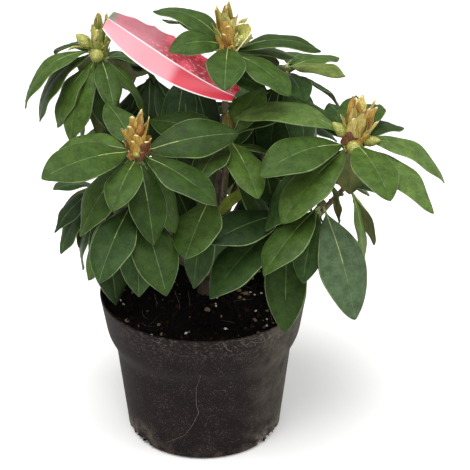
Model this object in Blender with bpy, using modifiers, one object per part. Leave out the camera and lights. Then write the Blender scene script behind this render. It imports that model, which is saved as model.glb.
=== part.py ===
"""A young rhododendron in a three litre nursery pot.

Metres, +Z up. The origin is the middle of the pot's flat underside, and the plant's front faces -Y.
The pot is filled with potting mix. A short stem stands on it and forks into boughs, and each bough
carries one shoot: a twig with a whorl of leaves and, on the four highest, a cluster of flower buds.
"""
import math
import random

import bmesh
import bpy
import numpy as np
from mathutils import Matrix, Vector
from mathutils.bvhtree import BVHTree

MM = 0.001
GAP = 0.3 * MM

# Pot: outside diameters and heights.
POT_HEIGHT = 140 * MM
RIM_DIAMETER = 190 * MM
COLLAR_HEIGHT = 38 * MM
COLLAR_FOOT_DIAMETER = 177 * MM
SHOULDER_DROP = 15 * MM
SHOULDER_DIAMETER = 162 * MM
BASE_DIAMETER = 143 * MM
CORNER_RADIUS = 5 * MM
CORNER_STEPS = 2
WALL = 1.8 * MM
BASE_THICKNESS = 2.5 * MM
POT_STEPS = 40

# Drain openings in the bottom corner: their compass directions, and their depth, width and height.
DRAIN_TURNS = (-150, -30, 90)
DRAIN_SIZE = (16 * MM, 38 * MM, 8 * MM)
DRAIN_SINK = 1 * MM

# Potting mix: how far its edge lies below the rim, and how far its middle rises.
MIX_DROP = 14 * MM
MIX_CROWN = 5 * MM
MIX_RINGS = 4

# Stem: where its foot stands, height above the mix, radii from the flared foot to the top, and its lean.
STEM_PLACE = Vector((4, 12, 0)) * MM
STEM_HEIGHT = 54 * MM
STEM_FOOT_RADIUS = 10 * MM
STEM_RADIUS = 7 * MM
STEM_TOP_RADIUS = 5.5 * MM
STEM_FLARE = 7 * MM
STEM_LEAN = 0.06
STEM_SWAY = 1.5 * MM
STEM_SWAY_BACK = 0.4
STEM_SHARES = (0.0, 0.06, 0.14, 0.28, 0.5, 0.75, 1.0)
STEM_SIDES = 12

# Boughs and the twigs that go on from them.
BOUGH_FOOT_RADIUS = 4.2 * MM
BOUGH_TIP_RADIUS = 3.0 * MM
TWIG_TIP_RADIUS = 2.2 * MM
BOUGH_STEPS = (0.0, 0.04, 0.25, 0.5, 0.75, 0.96, 1.0)
LIMB_SIDES = 6
BOUGH_REACH = 0.38
BOUGH_RISE = 0.9
TWIG_UPRIGHT = 0.7
TWIG_END = 2 * MM
SHARP_ANGLE = math.radians(50)
WELD = 0.001 * MM

# Leaf blade: widest at half its length, thickest at its midrib. Its half width follows
# sin(pi t ^ OVAL_LEAD) ^ OVAL_SWELL, with t from the stalk's end to the tip.
LEAF_SHARE = 0.42
OVAL_LEAD = 1.05
OVAL_SWELL = 0.8
LEAF_HALF_THICKNESS = 0.7 * MM
STALK_HALF_THICKNESS = 1.2 * MM
STALK_END = 0.1
STALK_SHARE = 0.07
STALK_REACH = 0.6
EDGE_DROP = 0.18
LEAF_STATIONS = (0.0, 0.1, 0.28, 0.5, 0.72, 0.9)
SCALE_STATIONS = (0.0, 0.5)
LEAF_STEP = 2.4 * MM
LEAF_TIERS = 4
CLEARANCE = 0.5 * MM

# Flower bud: one bract in its middle, then rings of (count, share of the height, slope, bend), round a heart
# given as shares of the bud's height and radius.
BUD_MIDDLE = (4, 0.3)
BUD_RINGS = ((4, 0.86, 82, 12), (5, 0.66, 66, -14))
BRACT_SHARE = 0.36
BRACT_START = 20
HEART_PLACE = 0.36
HEART_LENGTH = 0.8
HEART_RADIUS = 0.75
BALL_SIDES = 6
BALL_RINGS = 4

# Plain shell of rim and mix for the tests: its sides, and how far in and down it steps from the rim.
SHELL_SIDES = 32
SHELL_INSET = 8 * MM
SHELL_DROP = 2 * MM

# How far a leaf may be turned and raised, in degrees, where it would meet a limb or another shoot's leaf.
NUDGES = ((0, 0), (0, 5), (0, -5), (6, 0), (-6, 0), (0, 10), (0, -10), (8, 8), (-8, 8), (8, -8), (-8, -8),
          (14, 0), (-14, 0), (0, 16), (0, -16), (16, 12), (-16, 12), (16, -12), (-16, -12), (24, 0), (-24, 0))

# Label: a lens-shaped plastic card that leans against the top shoot.
LABEL_LOW = Vector((30, 4, 335)) * MM
LABEL_HIGH = Vector((-79, 0, 408)) * MM
LABEL_BELLY = 25 * MM
LABEL_BACK = 15.5 * MM
LABEL_PHASE = (0.04, 0.89)
LABEL_BELLY_SWELL = 0.6
LABEL_BACK_SWELL = 0.4
LABEL_BOW = 6 * MM
LABEL_THICKNESS = 0.9 * MM
LABEL_SCALLOP = 1.6 * MM
LABEL_SCALLOPS = 7
LABEL_ROWS = 15
LABEL_COLUMNS = 5

# Its loop round that shoot's twig: height of its middle below the twig's tip, outside radius and height.
LOOP_DROP = 33 * MM
LOOP_RADIUS = 6 * MM
LOOP_HEIGHT = 5 * MM

# Each shoot: its tip in mm, how long its twig is, the height of its bough's foot on the stem, and its
# leaves as (turn, rise, bend, length, roll, width share, drop). Turn is the compass direction in degrees,
# 0 to the right and 90 to the back. Rise is the leaf's slope at its foot, bend how far it arches over, roll
# its twist about its midrib, and drop how far down the twig it grows, in mm. Inner leaves have the same
# rows, and find their place after those. Fill is (count, middle turn, spread, rise) of the leaves that
# follow by rule. Bud is (turn, lean, height, radius) of the flower bud, and side_buds are (turn, rise,
# distance, length, radius).
SHOOTS = {
    "top": {
        "tip": (23, 10, 375), "twig": 62, "foot": 54,
        "leaves": (
            (-92, 20, 50, 80, 0, 0.44), (150, 55, 80, 86), (-45, 10, 45, 80), (5, 36, 72, 88),
            (-150, 38, 60, 62, -30, 0.46), (160, 38, 40, 66, 25), (25, 5, 40, 74)),
        "fill": (3, 85, 90, 0), "bud": (170, 6, 44, 12),
        "side_buds": ((-20, 35, 15, 24, 6), (200, 10, 9, 12, 4.5)),
    },
    "left_front": {
        "tip": (-54, -75, 315), "twig": 60, "foot": 35,
        "leaves": (
            (-142, 20, 35, 98, -25), (15, 18, 25, 90, 35), (-105, 5, 35, 76), (120, 45, 40, 68),
            (165, 15, 40, 72, -20), (-40, 5, 35, 92), (-75, -30, 35, 80), (-45, -35, 35, 72),
            (-150, -32, 35, 88, -10)),
        "fill": (1, 85, 20, -8), "bud": (0, 3, 40, 12),
        "side_buds": ((-90, 15, 8, 9, 3.6),),
    },
    "right": {
        "tip": (131, -40, 308), "twig": 60, "foot": 36,
        "leaves": (
            (165, 43, 75, 114, 0, 0.38), (-135, -10, 35, 100, 0, 0.46), (-145, 24, 50, 100, -15),
            (-42, 10, 58, 103, 0, 0.34), (-70, 10, 45, 86, 0, 0.46), (-8, 24, 92, 98, 0, 0.34),
            (150, 48, 70, 92), (82, 52, 60, 66),
            (66, 42, 70, 70), (45, 28, 70, 72), (108, 47, 60, 60), (-150, -15, 40, 106),
            (92, -54, 34, 66, 0, 0.48), (30, -62, 30, 50, 0, 0.28, 44)),
        "fill": (0, 0, 0, 0), "bud": (10, 24, 46, 13),
        "side_buds": ((175, 45, 16, 20, 5.5), (-90, 0, 11, 14, 6.5), (-25, 15, 17, 18, 5)),
    },
    "left_back": {
        "tip": (-92, 40, 358), "twig": 60, "foot": 37,
        "leaves": (
            (-165, 15, 100, 94, 0, 0.36), (-130, -35, 50, 84, 0, 0.44), (-75, 0, 50, 64, 0, 0.38),
            (-78, -45, 50, 64), (-172, -10, 80, 92), (140, 25, 80, 62), (-155, -25, 60, 78),
            (-165, -50, 50, 80), (-30, -58, 40, 78), (60, -70, 50, 80)),
        "inner": ((-5, -30, 50, 72),),
        "fill": (3, 70, 100, -15), "bud": (0, 10, 42, 9),
        "side_buds": ((180, 42, 17, 18, 5.5), (-95, 5, 10, 14, 6.5)),
    },
    "middle": {
        "tip": (24, -20, 301), "twig": 62, "foot": 46,
        "leaves": (
            (-70, 2, 40, 78), (-112, 15, 40, 74), (145, 15, 30, 88, -20), (65, 58, 60, 72), (45, 25, 40, 80),
            (95, 72, 60, 30, 0, 0.34)),
        "inner": ((-20, -38, 30, 76, 0, 0.42, 26),),
        "fill": (2, 70, 120, -15),
    },
    "back_right": {
        "tip": (74, 60, 334), "twig": 60, "foot": 36,
        "leaves": ((-35, 27, 40, 66), (35, 17, 40, 64), (-75, 25, 50, 68), (35, -12, 50, 84)),
        "inner": (
            (-60, -38, 50, 82), (-112, -45, 40, 86), (-12, -42, 50, 80), (-150, -20, 50, 84, 0, 0.42, 14)),
        "fill": (4, 110, 130, 0),
    },
    "low_left": {
        "tip": (-94, 10, 241), "twig": 50, "foot": 13,
        "leaves": (
            (-125, 34, 30, 66), (-145, -8, 50, 60), (-150, -27, 50, 72), (-165, -50, 50, 84),
            (165, -50, 50, 74, 0, 0.3)),
        "inner": ((-73, -52, 20, 108, 0, 0.36),),
        "fill": (3, 100, 90, -20),
    },
    "low_left_front": {
        "tip": (-56, -82, 275), "twig": 55, "foot": 24,
        "leaves": (
            (-113, -14, 35, 88, 0, 0.44), (-66, -30, 25, 90, 0, 0.46), (-88, -55, 30, 84), (100, -75, 30, 90),
            (-150, -35, 40, 84), (-30, -70, 30, 84)),
        "fill": (0, 0, 0, 0),
    },
    "low_middle": {
        "tip": (9, -50, 261), "twig": 50, "foot": 13,
        "leaves": ((-106, 0, 30, 83, 0, 0.52), (-125, -55, 30, 84), (-60, -75, 30, 70)),
        "fill": (1, 120, 20, -60),
    },
    "low_right_front": {
        "tip": (77, -40, 238), "twig": 58, "foot": 24,
        "leaves": (
            (-140, 16, 30, 92, -20, 0.44), (-138, -13, 30, 106, 0, 0.44), (-92, -46, 30, 104, 0, 0.36),
            (-115, -60, 30, 70)),
        "fill": (0, 0, 0, 0),
    },
    "low_right": {
        "tip": (104, -66, 262), "twig": 50, "foot": 13,
        "leaves": (
            (-60, -42, 30, 106, 0, 0.44), (-129, -9, 30, 88, 0, 0.46), (-112, -36, 40, 70), (0, -70, 30, 76)),
        "fill": (0, 0, 0, 0),
    },
    "right_back": {
        "tip": (132, 30, 233), "twig": 50, "foot": 24,
        "leaves": ((-20, -65, 30, 92, 0, 0.24), (32, -50, 30, 80, 0, 0.3)),
        "fill": (2, 100, 60, 15),
    },
    "inner_left": {
        "tip": (-30, -8, 262), "twig": 46, "foot": 46,
        "leaves": (),
        "inner": (
            (-128, -18, 40, 80), (-75, -40, 30, 66), (175, -25, 40, 72), (150, 30, 50, 70),
            (-40, 20, 40, 50)),
        "fill": (2, 80, 100, -10),
    },
    "inner_right": {
        "tip": (58, 6, 262), "twig": 46, "foot": 46,
        "leaves": (),
        "inner": (
            (-130, 5, 25, 70, 0, 0.2, 10), (-120, -50, 30, 80), (-85, 10, 30, 60), (-30, 10, 40, 58),
            (165, 15, 40, 70), (115, 25, 40, 66)),
        "fill": (2, 80, 100, 10),
    },
    "back_left": {
        "tip": (-48, 82, 322), "twig": 60, "foot": 36,
        "leaves": (),
        "inner": (
            (-92, -32, 50, 82), (-50, -28, 50, 84), (-135, -30, 50, 80), (-150, -8, 50, 84, 0, 0.42, 20)),
        "fill": (6, 95, 230, 0),
    },
    "upper_back": {
        "tip": (-14, 62, 336), "twig": 60, "foot": 46,
        "leaves": (),
        "inner": (
            (-105, -30, 50, 80), (-150, -25, 50, 84), (-60, -35, 50, 80), (-90, -45, 40, 80, 0, 0.42, 34),
            (-50, -40, 40, 76, 0, 0.42, 36), (-125, -42, 40, 80, 0, 0.42, 38)),
        "fill": (6, 95, 250, 0),
    },
    "back": {
        "tip": (45, 115, 275), "twig": 60, "foot": 36,
        "leaves": (),
        "inner": ((-88, -30, 40, 80), (-60, -38, 40, 88), (-116, -28, 40, 86)),
        "fill": (8, 90, 300, 4),
    },
    "back_middle": {
        "tip": (-28, 104, 262), "twig": 50, "foot": 24,
        "leaves": (),
        "inner": ((-50, -25, 40, 86), (-80, -30, 40, 80)),
        "fill": (7, 100, 250, 0),
    },
    "low_back_left": {
        "tip": (-70, 85, 215), "twig": 45, "foot": 13, "leaves": (), "fill": (6, 125, 220, -18),
    },
    "low_back": {"tip": (20, 100, 205), "twig": 45, "foot": 24, "leaves": (), "fill": (6, 90, 220, -18)},
    "low_back_right": {
        "tip": (100, 80, 215), "twig": 45, "foot": 13, "leaves": (), "fill": (5, 75, 210, 8),
    },
}
FILL_JITTER = 9
FILL_BEND = (40, 58)
FILL_LENGTH = (78, 94)
SEED = 11


def clear_scene():
    for obj in list(bpy.data.objects):
        bpy.data.objects.remove(obj, do_unlink=True)


def new_collection(name):
    collection = bpy.data.collections.new(name)
    bpy.context.scene.collection.children.link(collection)
    return collection


def material(name, color, roughness, metallic=0.0):
    """A Principled BSDF material with a plain colour, given as linear RGB."""
    mat = bpy.data.materials.new(name)
    mat.use_nodes = True
    shader = mat.node_tree.nodes["Principled BSDF"]
    shader.inputs["Base Color"].default_value = (*color, 1.0)
    shader.inputs["Roughness"].default_value = roughness
    shader.inputs["Metallic"].default_value = metallic
    return mat


def mesh_object(name, points, faces, collection, mat=None):
    mesh = bpy.data.meshes.new(name)
    mesh.from_pydata([tuple(p) for p in points], [], faces)
    mesh.update()
    if mat:
        mesh.materials.append(mat)
    obj = bpy.data.objects.new(name, mesh)
    collection.objects.link(obj)
    return obj


def bake(obj, weld=0.0):
    """Replaces the object by a plain mesh of its evaluated shape, with the modifiers applied."""
    bpy.context.view_layer.update()
    graph = bpy.context.evaluated_depsgraph_get()
    mesh = bpy.data.meshes.new_from_object(obj.evaluated_get(graph))
    name, place = obj.name, obj.matrix_world.copy()
    collection = obj.users_collection[0]
    bpy.data.objects.remove(obj, do_unlink=True)
    made = bpy.data.objects.new(name, mesh)
    made.matrix_world = place
    collection.objects.link(made)
    if weld:
        shape = bmesh.new()
        shape.from_mesh(mesh)
        bmesh.ops.remove_doubles(shape, verts=shape.verts, dist=weld)
        shape.to_mesh(mesh)
        shape.free()
    return made


def boolean(obj, operation, other):
    modifier = obj.modifiers.new(operation.lower(), "BOOLEAN")
    modifier.operation = operation
    modifier.solver = "EXACT"
    if isinstance(other, bpy.types.Collection):
        modifier.operand_type = "COLLECTION"
        modifier.collection = other
    else:
        modifier.object = other


def use_as_cutter(obj, cutters):
    cutters.objects.link(obj)
    obj.hide_render = True
    obj.display_type = "WIRE"


def turned(name, profile, steps, collection, mat):
    """A profile of (radius, height) turned about Z. It starts and ends on the axis."""
    mesh = bpy.data.meshes.new(name)
    mesh.from_pydata([(r, 0.0, z) for r, z in profile], [(i, i + 1) for i in range(len(profile) - 1)], [])
    obj = bpy.data.objects.new(name, mesh)
    collection.objects.link(obj)
    screw = obj.modifiers.new("turn", "SCREW")
    screw.steps = steps
    screw.render_steps = steps
    screw.use_merge_vertices = True
    screw.merge_threshold = 10 * WELD
    obj.data.materials.append(mat)
    return obj


def corner(radius, start, end, centre, steps):
    """Points of a rounded corner, angles in degrees from +X."""
    angles = np.linspace(math.radians(start), math.radians(end), steps + 1)
    return [(centre[0] + radius * math.cos(a), centre[1] + radius * math.sin(a)) for a in angles]


def pot_outline(inset=0.0):
    """Outside of the pot from the rim down to the underside, moved inwards by the wall for its inside."""
    rim = RIM_DIAMETER / 2 - inset
    collar = COLLAR_FOOT_DIAMETER / 2 - inset
    shoulder = SHOULDER_DIAMETER / 2 - inset
    base = BASE_DIAMETER / 2 - inset
    low = BASE_THICKNESS if inset else 0.0
    radius = CORNER_RADIUS - inset
    points = [(rim, POT_HEIGHT), (collar, POT_HEIGHT - COLLAR_HEIGHT)]
    points += [(shoulder, POT_HEIGHT - COLLAR_HEIGHT - SHOULDER_DROP)]
    points += corner(radius, 0, -90, (base - radius, low + radius), CORNER_STEPS)
    return points


def inner_radius(height):
    """Radius of the pot's inside at this height."""
    inside = pot_outline(WALL)
    heights = [z for _, z in reversed(inside)]
    radii = [r for r, _ in reversed(inside)]
    return float(np.interp(height, heights, radii))


def make_pot(parts, cutters, mat):
    outside = pot_outline()
    inside = pot_outline(WALL)
    profile = [(0.0, BASE_THICKNESS)] + inside[::-1] + outside + [(0.0, 0.0)]
    pot = turned("pot", profile, POT_STEPS, parts, mat)
    for i, turn in enumerate(DRAIN_TURNS):
        angle = math.radians(turn)
        reach = BASE_DIAMETER / 2
        bpy.ops.mesh.primitive_cube_add(size=1.0)
        cutter = bpy.context.object
        cutter.name = f"drain_cutter_{i}"
        cutter.data.transform(Matrix.Diagonal((*DRAIN_SIZE, 1.0)))
        cutter.location = (reach * math.cos(angle), reach * math.sin(angle), DRAIN_SIZE[2] / 2 - DRAIN_SINK)
        cutter.rotation_euler.z = angle
        for collection in cutter.users_collection:
            collection.objects.unlink(cutter)
        use_as_cutter(cutter, cutters)
        boolean(pot, "DIFFERENCE", cutter)
    return pot


def mix_height(radius):
    """Height of the mix's surface at this distance from the middle: a low dome that falls to its edge."""
    edge = inner_radius(POT_HEIGHT - MIX_DROP) - GAP
    return POT_HEIGHT - MIX_DROP + MIX_CROWN * math.cos(math.pi / 2 * min(radius / edge, 1.0))


def make_mix(parts, mat):
    """Fills the pot, clear of its wall, up to the dome."""
    edge = inner_radius(POT_HEIGHT - MIX_DROP) - GAP
    dome = [(edge * i / MIX_RINGS, mix_height(edge * i / MIX_RINGS)) for i in range(MIX_RINGS + 1)]
    side = [(r - GAP, z) for r, z in pot_outline(WALL) if z < POT_HEIGHT - MIX_DROP]
    side = [(r, z + GAP if z < BASE_THICKNESS + GAP else z) for r, z in side]
    return turned("potting_mix", dome + side + [(0.0, BASE_THICKNESS + GAP)], POT_STEPS, parts, mat)


def stem_point(height):
    """Middle of the stem at this height above its foot: upright there, then it leans right and sways once."""
    share = height / STEM_HEIGHT
    sway = STEM_SWAY * math.sin(math.pi * share) ** 2
    foot = mix_height(STEM_PLACE.length) + GAP
    return STEM_PLACE + Vector((STEM_LEAN * share * height - sway, STEM_SWAY_BACK * sway, foot + height))


def stem_radius(height):
    """Narrows quickly from the flared foot, then slowly to the top."""
    flare = (STEM_FOOT_RADIUS - STEM_RADIUS) * math.exp(-height / STEM_FLARE)
    return STEM_RADIUS + (STEM_TOP_RADIUS - STEM_RADIUS) * height / STEM_HEIGHT + flare


def limb(name, points, radii, collection, mat, sides):
    """A tapering tube with closed ends: a poly curve with a round bevel, made a mesh."""
    curve = bpy.data.curves.new(name, "CURVE")
    curve.dimensions = "3D"
    curve.bevel_depth = 1.0
    curve.bevel_resolution = (sides - 4) // 2
    curve.use_fill_caps = True
    spline = curve.splines.new("POLY")
    spline.points.add(len(points) - 1)
    for control, point, radius in zip(spline.points, points, radii):
        control.co = (*point, 1.0)
        control.radius = radius
    obj = bpy.data.objects.new(name, curve)
    collection.objects.link(obj)
    if mat:
        curve.materials.append(mat)
    made = bake(obj, weld=WELD)
    made.data.shade_smooth()
    made.data.set_sharp_from_angle(angle=SHARP_ANGLE)
    return made


def tube_shape(points, radii, sides=8):
    """Points and faces of a plain tapering tube, for the tests of what touches what."""
    ring = []
    for i, (point, radius) in enumerate(zip(points, radii)):
        along = (points[min(i + 1, len(points) - 1)] - points[max(i - 1, 0)]).normalized()
        across = along.orthogonal().normalized()
        other = along.cross(across)
        for k in range(sides):
            angle = 2 * math.pi * k / sides
            ring.append(point + across * (radius * math.cos(angle)) + other * (radius * math.sin(angle)))
    faces = []
    for i in range(len(points) - 1):
        for k in range(sides):
            n = (k + 1) % sides
            faces.append((i * sides + k, i * sides + n, (i + 1) * sides + n, (i + 1) * sides + k))
    return ring, faces


def twig_axis(shoot):
    """Foot, tip and direction of a shoot's twig: between straight up and away from the stem's top."""
    tip = Vector(shoot["tip"]) * MM
    away = (tip - stem_point(STEM_HEIGHT)).normalized()
    along = (away + Vector((0, 0, TWIG_UPRIGHT))).normalized()
    return tip - along * shoot["twig"] * MM, tip, along


def bough_path(shoot):
    """Points from inside the stem to just below the shoot's twig, along one smooth Bezier curve."""
    foot, _, along = twig_axis(shoot)
    start = stem_point(shoot["foot"] * MM)
    end = foot - along * GAP
    if shoot["foot"] * MM >= STEM_HEIGHT:
        up = (stem_point(STEM_HEIGHT) - stem_point(STEM_HEIGHT - 2 * MM)).normalized()
        start = stem_point(STEM_HEIGHT) + up * GAP
        leave = up
    else:
        flat = Vector((end.x, end.y, 0)).normalized()
        leave = (flat + Vector((0, 0, BOUGH_RISE))).normalized()
    reach = (end - start).length * BOUGH_REACH
    handles = (start, start + leave * reach, end - along * reach, end)
    points = []
    for t in BOUGH_STEPS:
        weights = ((1 - t) ** 3, 3 * t * (1 - t) ** 2, 3 * t * t * (1 - t), t ** 3)
        points.append(sum((h * w for h, w in zip(handles, weights)), Vector()))
    return points


def bough_radii(extra=0.0):
    return [BOUGH_FOOT_RADIUS + (BOUGH_TIP_RADIUS - BOUGH_FOOT_RADIUS) * t + extra for t in BOUGH_STEPS]


def tree_of(shape):
    return BVHTree.FromPolygons([tuple(p) for p in shape[0]], shape[1])


def make_stem(parts, mat):
    heights = [STEM_HEIGHT * share for share in STEM_SHARES]
    radii = [stem_radius(h) for h in heights]
    return limb("stem", [stem_point(h) for h in heights], radii, parts, mat, STEM_SIDES)


def fat_stem(collection):
    """The stem, wider and higher by the gap twice over, that the boughs' feet are cut with."""
    heights = [STEM_HEIGHT * share for share in STEM_SHARES] + [STEM_HEIGHT + 2 * GAP]
    return limb("stem_cutter", [stem_point(h) for h in heights], [stem_radius(h) + 2 * GAP for h in heights],
                collection, None, STEM_SIDES)


def make_boughs(parts, cutters, mat):
    """One bough to each shoot, cut clear of the stem and of each bough made before that it would touch."""
    stem_cutter = fat_stem(cutters)
    earlier = []
    for name, shoot in SHOOTS.items():
        path = bough_path(shoot)
        bough = limb(f"bough_{name}", path, bough_radii(), parts, mat, LIMB_SIDES)
        if shoot["foot"] * MM < STEM_HEIGHT:
            boolean(bough, "DIFFERENCE", stem_cutter)
        own = tree_of(tube_shape(path, bough_radii(GAP)))
        for other_name, other_path, other_tree in earlier:
            if own.overlap(other_tree):
                cutter_name = f"cutter_{other_name}_{name}"
                cutter = limb(cutter_name, other_path, bough_radii(GAP), cutters, None, LIMB_SIDES)
                boolean(bough, "DIFFERENCE", cutter)
        made = bake(bough)
        keep_largest(made)
        earlier.append((name, path, own))
    for cutter in list(cutters.objects):
        if cutter.name.startswith(("stem_cutter", "cutter_")):
            bpy.data.objects.remove(cutter, do_unlink=True)


def islands(shape):
    """Groups of joined faces in a bmesh."""
    seen = set()
    groups = []
    for face in shape.faces:
        if face in seen:
            continue
        seen.add(face)
        group = [face]
        for member in group:
            for edge in member.edges:
                for near in edge.link_faces:
                    if near not in seen:
                        seen.add(near)
                        group.append(near)
        groups.append(group)
    return groups


def keep_largest(obj):
    """Drops every loose scrap and sealed hollow, and keeps the one body with the most faces."""
    shape = bmesh.new()
    shape.from_mesh(obj.data)
    groups = sorted(islands(shape), key=len)
    for group in groups[:-1]:
        bmesh.ops.delete(shape, geom=group, context="FACES")
    loose = [v for v in shape.verts if not v.link_faces]
    bmesh.ops.delete(shape, geom=loose, context="VERTS")
    shape.to_mesh(obj.data)
    shape.free()


def leaf_values(leaf):
    """Fills in a leaf's roll, width share and drop where its row leaves them out."""
    return tuple(leaf) + (0, LEAF_SHARE, 0)[len(leaf) - 4:]


def blade_width(s):
    """Half width of a leaf at share s of its length, where 1 is the widest: a stalk, then a pointed oval."""
    t = max(0.0, (s - STALK_END) / (1 - STALK_END))
    oval = math.sin(math.pi * t ** OVAL_LEAD) ** OVAL_SWELL if 0 < t < 1 else 0.0
    return max(oval, STALK_SHARE) if s < STALK_REACH else oval


def leaf_shape(foot, leaf, stations=LEAF_STATIONS, extra=0.0):
    """Points and faces of one closed blade.

    Its midrib is an arc of constant bend that starts at the slope rise. Each station has four points: the
    left edge, the midrib's top, the right edge and the midrib's underside.
    """
    turn, rise, bend, length, roll, share, _ = leaf_values(leaf)
    a, r, b, q = (math.radians(v) for v in (turn, rise, bend, roll))
    length *= MM
    b = b if abs(b) > 0.01 else 0.01
    flat = Vector((math.cos(a), math.sin(a), 0))
    up = Vector((0, 0, 1))
    left = Vector((-math.sin(a), math.cos(a), 0))
    points = []
    for s in (*stations, 1.0):
        slope = r - b * s
        middle = foot + flat * (length * (math.sin(r) - math.sin(slope)) / b)
        middle += up * (length * (math.cos(slope) - math.cos(r)) / b)
        along = flat * math.cos(slope) + up * math.sin(slope)
        normal = along.cross(left)
        side = left * math.cos(q) + normal * math.sin(q)
        face = normal * math.cos(q) - left * math.sin(q)
        if s == 1.0:
            points.append(middle + along * extra)
            continue
        half = blade_width(s) * length * share / 2 + extra
        thick = (STALK_HALF_THICKNESS if s <= STALK_END else LEAF_HALF_THICKNESS) + extra
        edge = face * (-EDGE_DROP * half)
        points += [middle + side * half + edge, middle + face * thick,
                   middle - side * half + edge, middle - face * thick]
    faces = [(3, 2, 1, 0)]
    for i in range(len(stations) - 1):
        for k in range(4):
            n = (k + 1) % 4
            faces.append((4 * i + k, 4 * i + n, 4 * i + 4 + n, 4 * i + 4 + k))
    last = 4 * (len(stations) - 1)
    faces += [(last + k, last + (k + 1) % 4, last + 4) for k in range(4)]
    return points, faces


def scales(shoot):
    """Bracts of a flower bud: one in the middle and two rings about it, as blades with few stations."""
    turn, lean, height, _ = shoot["bud"]
    bend, width = BUD_MIDDLE
    rows = [(turn, 90 - lean, bend, height, 0, width, 0)]
    for ring, (count, share, rise, bend) in enumerate(BUD_RINGS):
        for i in range(count):
            around = 360 * (i + 0.5 * ring) / count + BRACT_START
            tilt = lean * math.cos(math.radians(around - turn))
            rows.append((around, rise - tilt, bend, height * share, 0, BRACT_SHARE, 0))
    return rows


def fill_leaves(shoot, rng):
    """Leaves that follow by rule: evenly round a sector, each turned and raised a little by chance."""
    count, middle, spread, rise = shoot["fill"]
    rows = []
    for i in range(count):
        turn = middle + spread * ((i + 0.5) / count - 0.5) + rng.uniform(-FILL_JITTER, FILL_JITTER)
        rows.append((turn, rise + rng.uniform(-FILL_JITTER, FILL_JITTER), rng.uniform(*FILL_BEND),
                     rng.uniform(*FILL_LENGTH)))
    return rows


def label_point(u, v):
    """A point of the card: u along it from the low end to the high one, v across from belly to back."""
    along = LABEL_HIGH - LABEL_LOW
    across = Vector((0, 1, 0)).cross(along).normalized()
    swell = math.sin(math.pi * (LABEL_PHASE[0] + LABEL_PHASE[1] * u))
    reach = -LABEL_BELLY * swell ** LABEL_BELLY_SWELL if v < 0 else LABEL_BACK * swell ** LABEL_BACK_SWELL
    scallop = LABEL_SCALLOP * abs(math.sin(LABEL_SCALLOPS * math.pi * u)) * max(v, 0.0)
    bow = Vector((0, 1, 0)) * LABEL_BOW * (math.sin(math.pi * u) - v * v)
    return LABEL_LOW + along * u + across * (reach * abs(v) - scallop * swell) + bow


def label_shape():
    """Grid of points and faces of the bent card's front."""
    rows, columns = LABEL_ROWS, LABEL_COLUMNS
    along = [i / (rows - 1) for i in range(rows)]
    across = [2 * j / (columns - 1) - 1 for j in range(columns)]
    points = [label_point(u, v) for u in along for v in across]
    faces = [(i * columns + j, i * columns + j + 1, (i + 1) * columns + j + 1, (i + 1) * columns + j)
             for i in range(rows - 1) for j in range(columns - 1)]
    return points, faces


def shoot_twig(shoot, extra=0.0):
    foot, tip, along = twig_axis(shoot)
    points = [foot, (foot + tip) / 2, tip + along * TWIG_END]
    radii = (BOUGH_TIP_RADIUS, (BOUGH_TIP_RADIUS + TWIG_TIP_RADIUS) / 2, TWIG_TIP_RADIUS)
    return points, [radius + extra for radius in radii]


def bounds_of(points):
    low = [min(p[k] for p in points) for k in range(3)]
    high = [max(p[k] for p in points) for k in range(3)]
    return low, high


def obstacle(owner, shape):
    return owner, *bounds_of(shape[0]), tree_of(shape)


def is_clear(owner, shape, obstacles):
    """True where this shape meets nothing that belongs to another shoot or to the limbs."""
    low, high = bounds_of(shape[0])
    tree = None
    for other, other_low, other_high, other_tree in obstacles:
        if other == owner:
            continue
        if any(low[k] > other_high[k] or high[k] < other_low[k] for k in range(3)):
            continue
        tree = tree or tree_of(shape)
        if tree.overlap(other_tree):
            return False
    return True


def pot_wall_shape():
    """Rim, collar and mix as a plain turned shell, for the tests."""
    rim, collar, low = RIM_DIAMETER / 2, COLLAR_FOOT_DIAMETER / 2, POT_HEIGHT - COLLAR_HEIGHT
    rows = [(0.0, mix_height(0)), (rim - SHELL_INSET, mix_height(rim)),
            (rim - WALL - CLEARANCE, POT_HEIGHT - SHELL_DROP), (rim, POT_HEIGHT + CLEARANCE),
            (collar + CLEARANCE, low), (BASE_DIAMETER / 2, 0.0)]
    sides = SHELL_SIDES
    turns = [2 * math.pi * k / sides for k in range(sides)]
    points = [Vector((r * math.cos(turn), r * math.sin(turn), z)) for r, z in rows for turn in turns]
    faces = []
    for i in range(len(rows) - 1):
        for k in range(sides):
            n = (k + 1) % sides
            faces.append((i * sides + k, i * sides + n, (i + 1) * sides + n, (i + 1) * sides + k))
    return points, faces


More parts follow.
